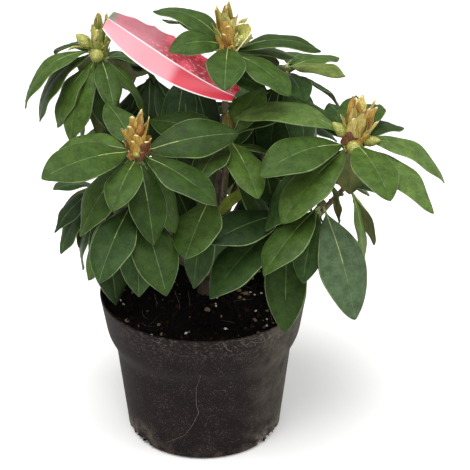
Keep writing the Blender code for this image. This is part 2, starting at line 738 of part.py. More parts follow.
def settle_leaves():
    """Chooses every leaf's place.

    One that would meet a limb or another shoot's leaf is turned, or else skipped.
    """
    obstacles = [obstacle("limbs", pot_wall_shape()), obstacle("limbs", label_shape())]
    heights = [STEM_HEIGHT * i / 8 for i in range(9)]
    stem = tube_shape([stem_point(h) for h in heights], [stem_radius(h) + CLEARANCE for h in heights])
    obstacles.append(obstacle("limbs", stem))
    for name, shoot in SHOOTS.items():
        obstacles.append(obstacle("limbs", tube_shape(bough_path(shoot), bough_radii(CLEARANCE))))
        obstacles.append(obstacle(name, tube_shape(*shoot_twig(shoot, CLEARANCE), 6)))
        for shape in bud_shapes(shoot, CLEARANCE):
            obstacles.append(obstacle(name, shape))
    rng = random.Random(SEED)
    chosen = {name: [] for name in SHOOTS}
    for stage in ("leaves", "inner", "fill"):
        for name, shoot in SHOOTS.items():
            rows = fill_leaves(shoot, rng) if stage == "fill" else shoot.get(stage, ())
            _, tip, along = twig_axis(shoot)
            for leaf in rows:
                drop = leaf_values(leaf)[6] * MM or LEAF_STEP * (len(chosen[name]) % LEAF_TIERS)
                foot = tip - along * drop
                for turn, rise in NUDGES:
                    moved = (leaf[0] + turn, leaf[1] + rise, *leaf[2:])
                    shape = leaf_shape(foot, moved, extra=CLEARANCE)
                    if is_clear(name, shape, obstacles):
                        chosen[name].append((foot, moved))
                        obstacles.append(obstacle(name, shape))
                        break
    return chosen


def ball_shape(centre, along, length, radius, extra=0.0):
    """Points and faces of a bud: an egg drawn out along its own direction, six-sided."""
    sides, rings = BALL_SIDES, BALL_RINGS
    across = along.orthogonal().normalized()
    other = along.cross(across)
    points = [centre - along * (length / 2 + extra)]
    for i in range(1, rings):
        angle = math.pi * i / rings
        for k in range(sides):
            turn = 2 * math.pi * k / sides
            out = (radius + extra) * math.sin(angle)
            points.append(centre - along * ((length / 2 + extra) * math.cos(angle))
                          + across * (out * math.cos(turn)) + other * (out * math.sin(turn)))
    points.append(centre + along * (length / 2 + extra))
    faces = []
    for k in range(sides):
        n = (k + 1) % sides
        faces.append((0, 1 + n, 1 + k))
        faces += [(1 + i * sides + k, 1 + i * sides + n, 1 + (i + 1) * sides + n, 1 + (i + 1) * sides + k)
                  for i in range(rings - 2)]
        faces.append((1 + (rings - 2) * sides + k, 1 + (rings - 2) * sides + n, len(points) - 1))
    return points, faces


def compass(turn, rise):
    a, r = math.radians(turn), math.radians(rise)
    return Vector((math.cos(r) * math.cos(a), math.cos(r) * math.sin(a), math.sin(r)))


def bud_shapes(shoot, extra=0.0):
    """The flower bud's heart, its bracts and the side buds of a shoot."""
    shapes = []
    _, tip, _ = twig_axis(shoot)
    if "bud" in shoot:
        turn, lean, height, radius = shoot["bud"]
        along = compass(turn, 90 - lean)
        heart = tip + along * (HEART_PLACE * height * MM)
        shapes.append(ball_shape(heart, along, HEART_LENGTH * height * MM, HEART_RADIUS * radius * MM, extra))
        for row in scales(shoot):
            shapes.append(leaf_shape(tip, row, SCALE_STATIONS, extra))
    for turn, rise, distance, length, radius in shoot.get("side_buds", ()):
        along = compass(turn, rise)
        shapes.append(ball_shape(tip + along * distance * MM, along, length * MM, radius * MM, extra))
    return shapes


def fuse(name, host, shapes, parts, mat):
    """Joins the shapes to the host by one union on a collection, and keeps the one body."""
    group = bpy.data.collections.new(f"pieces_{name}")
    bpy.context.scene.collection.children.link(group)
    for i, (points, faces) in enumerate(shapes):
        mesh_object(f"{name}_{i}", points, faces, group)
    boolean(host, "UNION", group)
    made = bake(host)
    for piece in list(group.objects):
        bpy.data.objects.remove(piece, do_unlink=True)
    bpy.data.collections.remove(group)
    made.name = name
    made.data.materials.clear()
    made.data.materials.append(mat)
    tidy_mesh(made)
    return made


def tidy_mesh(obj):
    shape = bmesh.new()
    shape.from_mesh(obj.data)
    bmesh.ops.remove_doubles(shape, verts=shape.verts, dist=WELD)
    bmesh.ops.dissolve_degenerate(shape, edges=shape.edges, dist=WELD)
    bmesh.ops.triangulate(shape, faces=shape.faces)
    shape.to_mesh(obj.data)
    shape.free()
    keep_largest(obj)


def make_foliage(parts, mat):
    for name, leaves in settle_leaves().items():
        shoot = SHOOTS[name]
        points, radii = shoot_twig(shoot)
        host = limb(f"foliage_{name}", points, radii, parts, None, LIMB_SIDES)
        shapes = [leaf_shape(foot, leaf) for foot, leaf in leaves] + bud_shapes(shoot)
        fuse(f"foliage_{name}", host, shapes, parts, mat)


def loop_cylinder(name, radius, height, cutters):
    """A cylinder about the top shoot's twig, where the label's loop goes round it."""
    _, tip, along = twig_axis(SHOOTS["top"])
    bpy.ops.mesh.primitive_cylinder_add(vertices=16, radius=radius, depth=height)
    obj = bpy.context.object
    obj.name = name
    obj.location = tip - along * LOOP_DROP
    obj.rotation_euler = along.to_track_quat("Z", "Y").to_euler()
    for collection in obj.users_collection:
        collection.objects.unlink(obj)
    use_as_cutter(obj, cutters)
    return obj


def make_label(parts, cutters, mat):
    """The bent card, given its thickness, with a loop round the top shoot's twig."""
    points, faces = label_shape()
    card = mesh_object("label", points, faces, parts, mat)
    wall = card.modifiers.new("thickness", "SOLIDIFY")
    wall.thickness = LABEL_THICKNESS
    wall.offset = -1.0
    boolean(card, "UNION", loop_cylinder("loop_outside", LOOP_RADIUS, LOOP_HEIGHT, cutters))
    inside = loop_cylinder("loop_inside", BOUGH_TIP_RADIUS + GAP, 3 * LOOP_HEIGHT, cutters)
    boolean(card, "DIFFERENCE", inside)
    return card


def main():
    clear_scene()
    parts = new_collection("potted_rhododendron")
    cutters = new_collection("cutters")
    pot_plastic = material("moulded polypropylene, dark taupe", (0.030, 0.024, 0.022), 0.62)
    peat = material("peat potting mix", (0.008, 0.006, 0.005), 0.95)
    bark = material("rhododendron bark", (0.085, 0.052, 0.034), 0.85)
    leaf_green = material("rhododendron leaves", (0.050, 0.120, 0.038), 0.5)
    card_plastic = material("printed plastic card", (0.80, 0.12, 0.16), 0.35)
    make_pot(parts, cutters, pot_plastic)
    make_mix(parts, peat)
    make_stem(parts, bark)
    make_boughs(parts, cutters, bark)
    make_foliage(parts, leaf_green)
    make_label(parts, cutters, card_plastic)


main()
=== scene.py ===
import math
import random
from functools import partial

import bpy
import numpy as np
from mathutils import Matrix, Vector
from mathutils.bvhtree import BVHTree


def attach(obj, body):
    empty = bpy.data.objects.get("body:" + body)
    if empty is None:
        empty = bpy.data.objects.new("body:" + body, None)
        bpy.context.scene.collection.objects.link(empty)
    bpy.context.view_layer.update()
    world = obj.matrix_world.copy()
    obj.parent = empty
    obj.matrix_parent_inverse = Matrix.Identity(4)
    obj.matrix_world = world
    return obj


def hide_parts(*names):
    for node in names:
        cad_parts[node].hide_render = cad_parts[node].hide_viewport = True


# A young rhododendron in a three litre nursery pot: fine leaves, buds, bark, potting mix and card
# stand for the plain solids of the frame. Metres, Z up, front towards -Y.

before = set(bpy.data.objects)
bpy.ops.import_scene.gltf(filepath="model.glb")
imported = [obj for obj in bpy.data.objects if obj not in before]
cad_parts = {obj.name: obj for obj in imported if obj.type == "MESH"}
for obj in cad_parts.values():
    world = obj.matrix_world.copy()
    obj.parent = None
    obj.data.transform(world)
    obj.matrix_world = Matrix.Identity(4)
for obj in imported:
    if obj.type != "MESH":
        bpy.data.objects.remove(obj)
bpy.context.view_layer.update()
mm = 0.001
gap = 0.3 * mm
print("frame loaded")


def hexToLinear(code):
    # sRGB to linear: c / 12.92 up to 0.04045, above it ((c + 0.055) / 1.055) to the power 2.4
    parts = [int(code[i:i + 2], 16) / 255 for i in (1, 3, 5)]
    return tuple(c / 12.92 if c <= 0.04045 else ((c + 0.055) / 1.055) ** 2.4 for c in parts) + (1.0,)


def smoothNoise(points, cell, seed):
    # Value noise from -1 to 1: a random value at each corner of a cubic grid, blended by 3t^2 - 2t^3
    scaled = np.asarray(points, float) / cell
    corner = np.floor(scaled)
    part = scaled - corner
    part = part * part * (3 - 2 * part)
    total = np.zeros(scaled.shape[:-1])
    for step in range(8):
        side = np.array([step & 1, step >> 1 & 1, step >> 2 & 1])
        where = (corner + side) @ np.array([127.1, 311.7, 74.7]) + seed * 17.3
        value = np.sin(where) * 43758.5453
        weight = np.prod(np.where(side == 1, part, 1 - part), axis=-1)
        total += (value - np.floor(value)) * weight
    return total * 2 - 1


def makePiece(name, points, quads, tris, materials, smooth=True, slots=None):
    # One mesh object from arrays of points (n, 3), four-sided faces (q, 4) and three-sided faces (t, 3);
    # slots says which of the materials each face wears
    points, quads, tris = np.asarray(points, float), np.asarray(quads, int), np.asarray(tris, int)
    quads, tris = quads.reshape(-1, 4), tris.reshape(-1, 3)
    mesh = bpy.data.meshes.new(name)
    for material in materials if isinstance(materials, list) else [materials]:
        mesh.materials.append(material)
    mesh.vertices.add(len(points))
    mesh.vertices.foreach_set("co", points.ravel())
    corners = np.concatenate([quads.ravel(), tris.ravel()])
    counts = np.concatenate([np.full(len(quads), 4), np.full(len(tris), 3)])
    mesh.loops.add(len(corners))
    mesh.loops.foreach_set("vertex_index", corners)
    mesh.polygons.add(len(counts))
    mesh.polygons.foreach_set("loop_start", np.concatenate([[0], np.cumsum(counts)[:-1]]))
    mesh.polygons.foreach_set("use_smooth", np.full(len(counts), smooth))
    if slots is not None:
        mesh.polygons.foreach_set("material_index", np.asarray(slots, int))
    mesh.update(calc_edges=True)
    mesh.validate()
    obj = bpy.data.objects.new(name, mesh)
    bpy.context.scene.collection.objects.link(obj)
    return obj


def giveValue(obj, name, values):
    # A number (n,) or a vector (n, 3) for each point, which the material reads by name
    values = np.asarray(values, float)
    kind, key = ("FLOAT", "value") if values.ndim == 1 else ("FLOAT_VECTOR", "vector")
    obj.data.attributes.new(name, kind, "POINT").data.foreach_set(key, values.ravel())


def quadTable(rows, around):
    # Four-sided faces between rings that close on themselves
    i, k = np.meshgrid(np.arange(rows - 1), np.arange(around), indexing="ij")
    n = (k + 1) % around
    corners = [i * around + k, i * around + n, (i + 1) * around + n, (i + 1) * around + k]
    return np.stack(corners, -1).reshape(-1, 4)


def loft(rings, start, end):
    # Closed skins over rings (count, along, around, 3), each end drawn to one point (count, 3).
    # A ring runs so that its next point crossed with the way along points outwards
    count, along, around, _ = rings.shape
    points = np.concatenate([rings.reshape(count, -1, 3), start[:, None], end[:, None]], axis=1)
    k = np.arange(around)
    n = (k + 1) % around
    last = (along - 1) * around
    first = np.stack([np.full(around, along * around), n, k], -1)
    final = np.stack([last + k, last + n, np.full(around, along * around + 1)], -1)
    shift = (np.arange(count) * points.shape[1])[:, None, None]
    quads = (quadTable(along, around) + shift).reshape(-1, 4)
    return points.reshape(-1, 3), quads, (np.concatenate([first, final]) + shift).reshape(-1, 3)


def joined(*shapes):
    # Several shapes (points, quads, tris) as one
    shifts = np.cumsum([0] + [len(shape[0]) for shape in shapes])
    quads, tris = (np.concatenate([shape[k] + shift for shape, shift in zip(shapes, shifts)]) for k in (1, 2))
    return np.concatenate([shape[0] for shape in shapes]), quads, tris


def spread(values, start, end):
    # Values given on the rings (count, along, around), with those of the two end points, in loft's order
    return np.concatenate([part.reshape(len(values), -1) for part in (values, start, end)], axis=1).ravel()


def unit(vectors):
    # Each vector divided by its length
    return vectors / (np.linalg.norm(vectors, axis=-1, keepdims=True) + 1e-12)


def tubes(paths, radii, around, relief=None):
    # Circles carried along paths (count, along, 3): centre + radius (A cos t + B sin t), with B = along x A.
    # A starts from the level direction across the chord, so it never turns over on a limb that bends upwards
    along = unit(np.gradient(paths, axis=1))
    level = np.cross(paths[:, -1] - paths[:, 0], [0.0, 0.0, 1.0])
    level[np.linalg.norm(level, axis=1) < 1e-5] = [1.0, 0.0, 0.0]
    level = unit(level)[:, None, :]
    first = unit(level - along * (along * level).sum(-1, keepdims=True))
    second = np.cross(along, first)
    turn = np.linspace(0, 2 * math.pi, around, endpoint=False)
    ray = first[:, :, None] * np.cos(turn)[:, None] + second[:, :, None] * np.sin(turn)[:, None]
    reach = np.broadcast_to(np.broadcast_to(radii, paths.shape[:2])[:, :, None], ray.shape[:3])
    if relief is not None:
        reach = reach + relief(paths[:, :, None] + ray * reach[..., None])
    return loft(paths[:, :, None] + ray * reach[..., None], paths[:, 0], paths[:, -1])


def feed(tree, node, inputs):
    # Each input's value, its sRGB hex colour, or the socket that feeds it
    for key, value in inputs.items():
        if isinstance(value, bpy.types.NodeSocket):
            tree.links.new(value, node.inputs[key])
        else:
            node.inputs[key].default_value = hexToLinear(value) if isinstance(value, str) else value


def addNode(tree, kind, inputs=(), output=0, stops=(), **settings):
    # One node: its settings, its inputs by name or in order, and a ramp's stops; gives the output wanted
    node = tree.nodes.new("ShaderNode" + kind)
    for key, value in settings.items():
        setattr(node, key, value)
    for i, (place, color) in enumerate(stops):
        element = node.color_ramp.elements[i] if i < 2 else node.color_ramp.elements.new(place)
        element.position, element.color = place, hexToLinear(color)
    feed(tree, node, inputs if isinstance(inputs, dict) else dict(enumerate(inputs)))
    return node.outputs[output]


def makeMaterial(name, look, pattern, *values):
    # The pattern adds its nodes and gives what feeds the shader; the look has the plain values and the bump
    mat = bpy.data.materials.new(name)
    mat.use_nodes = True
    add = partial(addNode, mat.node_tree)
    inputs = {**look["shader"], **pattern(add, *values)}
    if "relief" in inputs:
        inputs["Normal"] = add("Bump", {"Height": inputs.pop("relief"), **look["bump"]})
    feed(mat.node_tree, mat.node_tree.nodes["Principled BSDF"], inputs)
    return mat


# Settings that many nodes share
smooth = {"interpolation_type": "SMOOTHSTEP"}
times, plus = {"operation": "MULTIPLY"}, {"operation": "ADD"}
mixed = {"data_type": "RGBA", "output": 2}


def blotches(where, size, detail=3.0, rough=0.55):
    # What a noise needs for blotches about as large as size, in metres
    return {"Vector": where, "Scale": 1 / size, "Detail": detail, "Roughness": rough}


def layer(add, value, reach, under, over):
    # One colour laid over another as the value rises through the reach: low, high, and the shares there
    return add("Mix", {0: add("MapRange", (value, *reach), **smooth), 6: under, 7: over}, **mixed)


def shaded(code, factor):
    # The colour times a factor, in linear light
    return tuple(c * factor for c in hexToLinear(code)[:3]) + (1.0,)


# Living leaf with a waxed skin: satin green above, dull and paler below. Each green is a material of its own
# with one plain base colour, dealt out leaf by leaf, so it stays where it belongs when the piece is exported
leafLook = {
    "greens": {
        "deep": "#1c2c0e", "bottle": "#203216", "forest": "#273b12", "cool": "#2a401b", "mid": "#314618",
        "fresh": "#3c521e", "light": "#4b612c", "grey": "#3f5136", "olive": "#4c4f1a", "young": "#6e7c2a",
        "sallow": "#5a682f", "dry": "#544821",
    },
    "lines": {"midrib": "#82905a", "rib": "#52663a", "margin": "#687a4e"},
    "underside": "#596a3d", "rust": "#646338", "mottleSize": 9 * mm, "mottle": (0.7, 1.22),
    "fleckSize": 2 * mm, "fleckShare": 0.4, "dullSize": 4 * mm, "roughness": (0.42, 0.58),
    "underRoughness": (0.75, 0.85), "grain": 1.4 * mm, "bump": {"Distance": 0.25 * mm, "Strength": 0.45},
    "shader": {"IOR": 1.42, "Specular IOR Level": 0.16},
}


def leafPattern(add, color, other=None, roughness=leafLook["roughness"]):
    # Blotches and fine flecks, from a little darker to a little lighter than the plain colour
    where = add("TexCoord", output="Object")
    share = leafLook["fleckShare"]
    blotch = add("Math", (add("TexNoise", blotches(where, leafLook["mottleSize"], 4)), 1 - share), **times)
    fleck = add("Math", (add("TexNoise", blotches(where, leafLook["fleckSize"], 2)), share), **times)
    dark, pale = (shaded(color, f) for f in leafLook["mottle"])
    dull = add("TexNoise", blotches(where, leafLook["dullSize"], 4))
    grain = add("TexNoise", blotches(where, leafLook["grain"], 2))
    return {
        "Base Color": layer(add, add("Math", (blotch, fleck), **plus), (0.36, 0.64), dark, other or pale),
        "Roughness": add("MapRange", (dull, 0.3, 0.7, *roughness), **smooth), "relief": grain}


def leafMaterials():
    # The greens in order, then midrib, far midrib, margin and underside
    sides = {kind: (color,) for kind, color in {**leafLook["greens"], **leafLook["lines"]}.items()}
    sides["underside"] = (leafLook["underside"], leafLook["rust"], leafLook["underRoughness"])
    return [makeMaterial("waxy evergreen leaf " + kind, leafLook, leafPattern, *values)
            for kind, values in sides.items()]


# Dry papery bud bract: straw to golden brown, with fibres that run up it; each tint is a material of its own
bractLook = {
    "tints": {
        "brown": "#653a1f", "amber": "#93662a", "gold": "#a98638", "straw": "#b4a45a", "lime": "#9c994c",
        "green": "#737b30",
    },
    "edges": {"tip": "#7b6142", "rim": "#d3c08a", "white": "#ece6cc"},
    "fibre": 1.1 * mm, "drawnOut": (1, 1, 0.1), "streak": (0.62, 1.25),
    "bump": {"Distance": 0.3 * mm, "Strength": 0.6}, "shader": {"Roughness": 0.6},
}


def bractPattern(add, color):
    # Streaks drawn out ten times upwards, darker to lighter than the tint
    where = add("Mapping", {"Vector": add("TexCoord", output="Object"), "Scale": bractLook["drawnOut"]})
    streak = add("TexNoise", blotches(where, bractLook["fibre"], 4, 0.65))
    color = layer(add, streak, (0.35, 0.65), *(shaded(color, f) for f in bractLook["streak"]))
    return {"Base Color": color, "relief": streak}


def bractMaterials():
    colors = {**bractLook["tints"], **bractLook["edges"]}
    return [makeMaterial("dry papery bract " + kind, bractLook, bractPattern, color)
            for kind, color in colors.items()]


# Green side bud: smooth waxed scales, each with a pale edge and a rusty line under it, in two blotched tints
sideBudLook = {
    "scales": {
        "body": ("#72782c", "#989a48"), "edge": ("#989a48", "#c0bc76"), "line": ("#594318", "#72782c"),
    },
    "blotch": 3 * mm, "grain": 0.8 * mm, "bump": {"Distance": 0.2 * mm, "Strength": 0.3},
    "shader": {"Roughness": 0.5},
}


def sideBudPattern(add, color, other):
    # Two tones in soft blotches
    where = add("TexCoord", output="Object")
    blotch = add("TexNoise", blotches(where, sideBudLook["blotch"]))
    grain = add("TexNoise", blotches(where, sideBudLook["grain"]))
    return {"Base Color": add("Mix", {0: blotch, 6: color, 7: other}, **mixed), "relief": grain}


def sideBudMaterials():
    return [makeMaterial("waxy green bud scale " + kind, sideBudLook, sideBudPattern, *colors)
            for kind, colors in sideBudLook["scales"].items()]


# Corky young bark, dull grey brown ridges over dark furrows; smoother and olive on the twigs of the year
barkLook = {
    # The old bark's dark tones are partly painted shade for the stem and boughs deep inside the crown
    "old": {"ridge": "#4c3d31", "furrow": "#221914", "patch": "#686052", "size": 2.6 * mm},
    "young": {"ridge": "#5c5636", "furrow": "#35301f", "patch": "#6a4a34", "size": 1.6 * mm},
    "drawnOut": (1, 1, 0.3), "patchSize": 11 * mm, "bump": {"Distance": 0.5 * mm, "Strength": 0.8},
    "shader": {"Roughness": 0.85},
}


def barkPattern(add, look):
    # Ridges drawn out upwards, with patches of another tone laid over them
    where = add("TexCoord", output="Object")
    drawnOut = add("Mapping", {"Vector": where, "Scale": barkLook["drawnOut"]})
    ridges = add("TexNoise", blotches(drawnOut, look["size"], 5, 0.65))
    color = add("ValToRGB", (ridges,), stops=((0.3, look["furrow"]), (0.62, look["ridge"])))
    patches = add("TexNoise", blotches(where, barkLook["patchSize"]))
    return {"Base Color": layer(add, patches, (0.58, 0.7, 0, 0.5), color, look["patch"]), "relief": ridges}


# Damp peat: nearly black brown crumbs that reflect next to nothing
mixLook = {
    # The near black tones are partly the peat's own and partly painted shade from the crown above
    "colors": ((0.3, "#040202"), (0.62, "#0d0706"), (0.82, "#2b1f19")), "crumb": 2.2 * mm,
    "bump": {"Distance": 1.2 * mm, "Strength": 1}, "shader": {"Roughness": 0.95, "Specular IOR Level": 0.1},
}


def mixPattern(add):
    # One fine noise gives both the tone and the height of the crumbs
    peat = add("TexNoise", blotches(add("TexCoord", output="Object"), mixLook["crumb"], 5, 0.7))
    return {"Base Color": add("ValToRGB", (peat,), stops=mixLook["colors"]), "relief": peat}


# Torn bark chips, grit and perlite, each kind of one plain colour under a fine dark dust
crumbLook = {
    # The near black peat and bark are partly their own damp colour and partly painted shade from the crown
    "kinds": {
        "peat": "#060403", "bark": "#120b09", "red": "#2e1510", "straw": "#7d6a52", "perlite": "#ddd8ce",
    },
    "grit": 1 * mm, "dust": (1.15, 0.6), "bump": {"Distance": 0.4 * mm, "Strength": 0.7},
    "shader": {"Roughness": 0.9, "Specular IOR Level": 0.15},
}


def crumbPattern(add, color):
    # The kind's colour under grit, from a little lighter to a good deal darker
    grit = add("TexNoise", blotches(add("TexCoord", output="Object"), crumbLook["grit"]))
    color = layer(add, grit, (0.35, 0.7), *(shaded(color, f) for f in crumbLook["dust"]))
    return {"Base Color": color, "relief": grit}


# Moulded polypropylene, dark taupe and dull with handling: fine pale grit all over, dust under the rim and on
# the foot, and a lighter right side, part weathering and part painted light from the right. Each of these is
# the stretch over which it sets in, and its strength
potLook = {
    "plastic": "#120c0c", "worn": "#1a1213", "dust": "#7d746a", "weatherAndLight": "#5f5b4c", "soil": "#463a2f",
    "cloud": 15 * mm, "grit": 1 * mm, "scuff": 3.2 * mm, "scuffShare": 0.35, "drawnOut": (1, 1, 1.3),
    "weatheredAndLit": (30 * mm, 75 * mm), "weatherAndLightShare": 0.44, "flank": (28 * mm, 62 * mm, 0.1, 1),
    "lowDust": (34 * mm, 5 * mm, 0, 0.62), "rimDust": (106 * mm, 132 * mm, 0, 0.34),
    "soiled": (12 * mm, 1 * mm), "soilShare": 0.7, "roughness": (0.6, 0.8),
    "bump": {"Distance": 0.25 * mm, "Strength": 0.35}, "shader": {"IOR": 1.49, "Specular IOR Level": 0.08},
}


def potPattern(add):
    # Plastic in two tones under weathering with painted light, dust and soil, each laid on where its reaches
    # meet
    where = add("TexCoord", output="Object")
    right, _, height = add("SeparateXYZ", (where,)).node.outputs
    cloud = add("TexNoise", blotches(where, potLook["cloud"], 6, 0.65))
    grit = add("TexNoise", blotches(where, potLook["grit"], 2, 0.6))
    drawnOut = add("Mapping", {"Vector": where, "Scale": potLook["drawnOut"]})
    scuffs = add("TexNoise", blotches(drawnOut, potLook["scuff"], 5, 0.7))
    # Broad patches with fine edges
    share = potLook["scuffShare"]
    film = [add("Math", row, **times) for row in ((scuffs, share), (cloud, 1 - share))]
    film = add("Math", film, **plus)

    def both(first, second):
        # Where one value and another are within their reaches, each a share from 0 to 1
        return add("Math", [add("MapRange", row, **smooth) for row in (first, second)], **times)

    # The right side is lighter, part weathering and part painted light from the right
    side = both((right, *potLook["weatheredAndLit"]), (film, 0.3, 0.66))
    side = add("Math", (side, potLook["weatherAndLightShare"]), **times)
    # Dust lies thickest low down and off to both sides, where the drain slots splashed, and under the rim
    aside = add("Math", (right, 0), operation="ABSOLUTE")
    low = both((aside, *potLook["flank"]), (height, *potLook["lowDust"]))
    low = add("Math", (low, add("MapRange", (film, 0.44, 0.62), **smooth)), **times)
    patches = add("Math", (low, both((height, *potLook["rimDust"]), (scuffs, 0.5, 0.72))), **plus)
    specks = both((grit, 0.58, 0.7), (cloud, 0.3, 0.7, 0.12, 0.5))
    dusty = add("Clamp", (add("Math", (patches, specks), **plus),))
    foot = both((height, *potLook["soiled"]), (cloud, 0.45, 0.6))
    foot = add("Math", (foot, potLook["soilShare"]), **times)
    color = layer(add, cloud, (0.3, 0.7), potLook["plastic"], potLook["worn"])
    for amount, kind in ((side, "weatherAndLight"), (dusty, "dust"), (foot, "soil")):
        color = add("Mix", {0: amount, 6: color, 7: potLook[kind]}, **mixed)
    dull = add("Math", (dusty, add("Math", (cloud, 0.4), **times)), **plus)
    relief = add("Math", (add("Math", (grit, 0.4), **times), cloud), **plus)
    rough = add("MapRange", (dull, 0.1, 0.6, *potLook["roughness"]), **smooth)
    return {"Base Color": color, "Roughness": rough, "relief": relief}


# Printed plastic card: satin, pink to red, with soft petal shapes; the print is a made-up pattern and its
# pale wash towards the high end is painted glare. Lengths on it are shares: 0 to 1 along the card, -1 to 1
# across it
cardLook = {
    "bandPink": "#f3a2ad", "bandRed": "#e23f53", "line": "#fbeff0", "glareHaze": "#cf8a96", "petalDark": "#ad0f2a",
    "petalLight": "#f5506a", "vein": "#f9b9c2", "leafGrey": "#8d9a86", "back": "#ded6d0", "petalSize": 0.16,
    "veinSize": 0.03, "bow": 0.25, "bandEdge": (-0.44, -0.40), "linePlace": 0.42, "lineWidth": 0.03,
    "rim": (-0.93, -0.97), "bump": {"Distance": 0.05 * mm, "Strength": 0.3},
    "shader": {"Roughness": 0.32, "IOR": 1.5},
}


def cardPattern(add):
    # Petals and veins drawn out along the card, over a band whose edge bows
    place = add("Attribute", output="Vector", attribute_name="place")
    along, across, front = add("SeparateXYZ", (place,)).node.outputs
    squeezed = add("Mapping", {"Vector": place, "Scale": (1, 0.18, 0)})
    petals = add("TexVoronoi", {"Vector": squeezed, "Scale": 1 / cardLook["petalSize"], "Smoothness": 0.35},
                 feature="SMOOTH_F1")
    squeezed = add("Mapping", {"Vector": place, "Scale": (1, 0.3, 0)})
    veins = add("TexNoise", blotches(squeezed, cardLook["veinSize"], 3, 0.6))
    picture = layer(add, petals, (0.2, 0.6), cardLook["petalLight"], cardLook["petalDark"])
    # The pale wash laid on along the card towards its high end is painted glare, where the bent card catches
    # the light
    for value, reach, over in ((veins, (0.52, 0.66, 0, 0.5), "vein"), (along, (0.45, 0.72, 0, 0.8), "glareHaze"),
                               (along, (0.93, 0.98), "leafGrey")):
        picture = layer(add, value, reach, picture, cardLook[over])
    band = layer(add, along, (0.38, 0.46), cardLook["bandRed"], cardLook["bandPink"])
    # The band's upper edge bows across the card, with a pale line along it: 1 - |(bow + place) / width|
    bow = add("Math", (across, add("Math", (along, cardLook["bow"]), **times)), operation="SUBTRACT")
    color = layer(add, bow, cardLook["bandEdge"], band, picture)
    stripe = add("Math", (add("Math", (bow, cardLook["linePlace"]), **plus), cardLook["lineWidth"]),
                 operation="DIVIDE")
    stripe = add("Math", (1, add("Math", (stripe, 0), operation="ABSOLUTE")), operation="SUBTRACT")
    for value, reach in ((stripe, (0, 0.4)), (across, cardLook["rim"])):
        color = layer(add, value, reach, color, cardLook["line"])
    return {"Base Color": add("Mix", {0: front, 6: cardLook["back"], 7: color}, **mixed), "relief": veins}


# Dead fine roots and twigs: dry and straw grey, and the pale matt floor of the studio
rootLook = {"blotched": ("#352a22", "#8f8474", 5 * mm), "shader": {"Roughness": 0.85}}
floorLook = {"blotched": ("#fbfaf8", "#ffffff", 0.4), "half": 6.0, "shader": {"Roughness": 0.9}}


def plainPattern(add, dark, pale, size):
    # Two tones in soft blotches
    blotch = add("TexNoise", blotches(add("TexCoord", output="Object"), size))
    return {"Base Color": add("Mix", {0: blotch, 6: dark, 7: pale}, **mixed)}


# The frame's own sizes, from which its rule for the leaves and every fine piece here start
pot = {
    "height": 140 * mm, "rimRadius": 95 * mm, "collarHeight": 102 * mm, "collarRadius": 88.5 * mm,
    "shoulderHeight": 87 * mm, "shoulderRadius": 81 * mm, "baseRadius": 71.5 * mm, "corner": 5 * mm,
    "wall": 1.8 * mm, "base": 2.5 * mm, "mixDrop": 14 * mm, "mixCrown": 5 * mm,
    "drainTurns": (-150, -30, 90), "drainSize": (16 * mm, 38 * mm, 8 * mm),
}
stem = {
    "place": (4 * mm, 12 * mm), "height": 54 * mm, "footRadius": 10 * mm, "radius": 7 * mm,
    "topRadius": 5.5 * mm, "flare": 7 * mm, "lean": 0.06, "sway": 1.5 * mm,
}
bough = {
    "footRadius": 4.2 * mm, "tipRadius": 3.0 * mm, "twigTipRadius": 2.2 * mm, "reach": 0.38, "upright": 0.7,
    "steps": (0.0, 0.04, 0.25, 0.5, 0.75, 0.96, 1.0),
}
blade = {
    "share": 0.42, "halfThickness": 0.7 * mm, "stalkHalfThickness": 1.2 * mm, "stalkEnd": 0.1,
    "stalkShare": 0.07, "edgeDrop": 0.18, "stations": (0.0, 0.1, 0.28, 0.5, 0.72, 0.9),
    "scaleStations": (0.0, 0.5), "step": 2.4 * mm, "tiers": 4, "clearance": 0.5 * mm,
}
card = {
    "low": (30 * mm, 4 * mm, 335 * mm), "high": (-79 * mm, 0.0, 408 * mm), "belly": 25 * mm,
    "back": 15.5 * mm, "bow": 6 * mm, "scallop": 1.6 * mm, "rows": 15, "columns": 5,
    "loopDrop": 33 * mm, "loopRadius": 6 * mm, "loopHeight": 5 * mm,
}
nudges = ((0, 0), (0, 5), (0, -5), (6, 0), (-6, 0), (0, 10), (0, -10), (8, 8), (-8, 8), (8, -8), (-8, -8),
          (14, 0), (-14, 0), (0, 16), (0, -16), (16, 12), (-16, 12), (16, -12), (-16, -12), (24, 0), (-24, 0))
fill = {"jitter": 9, "bend": (40, 58), "length": (78, 94), "seed": 11}

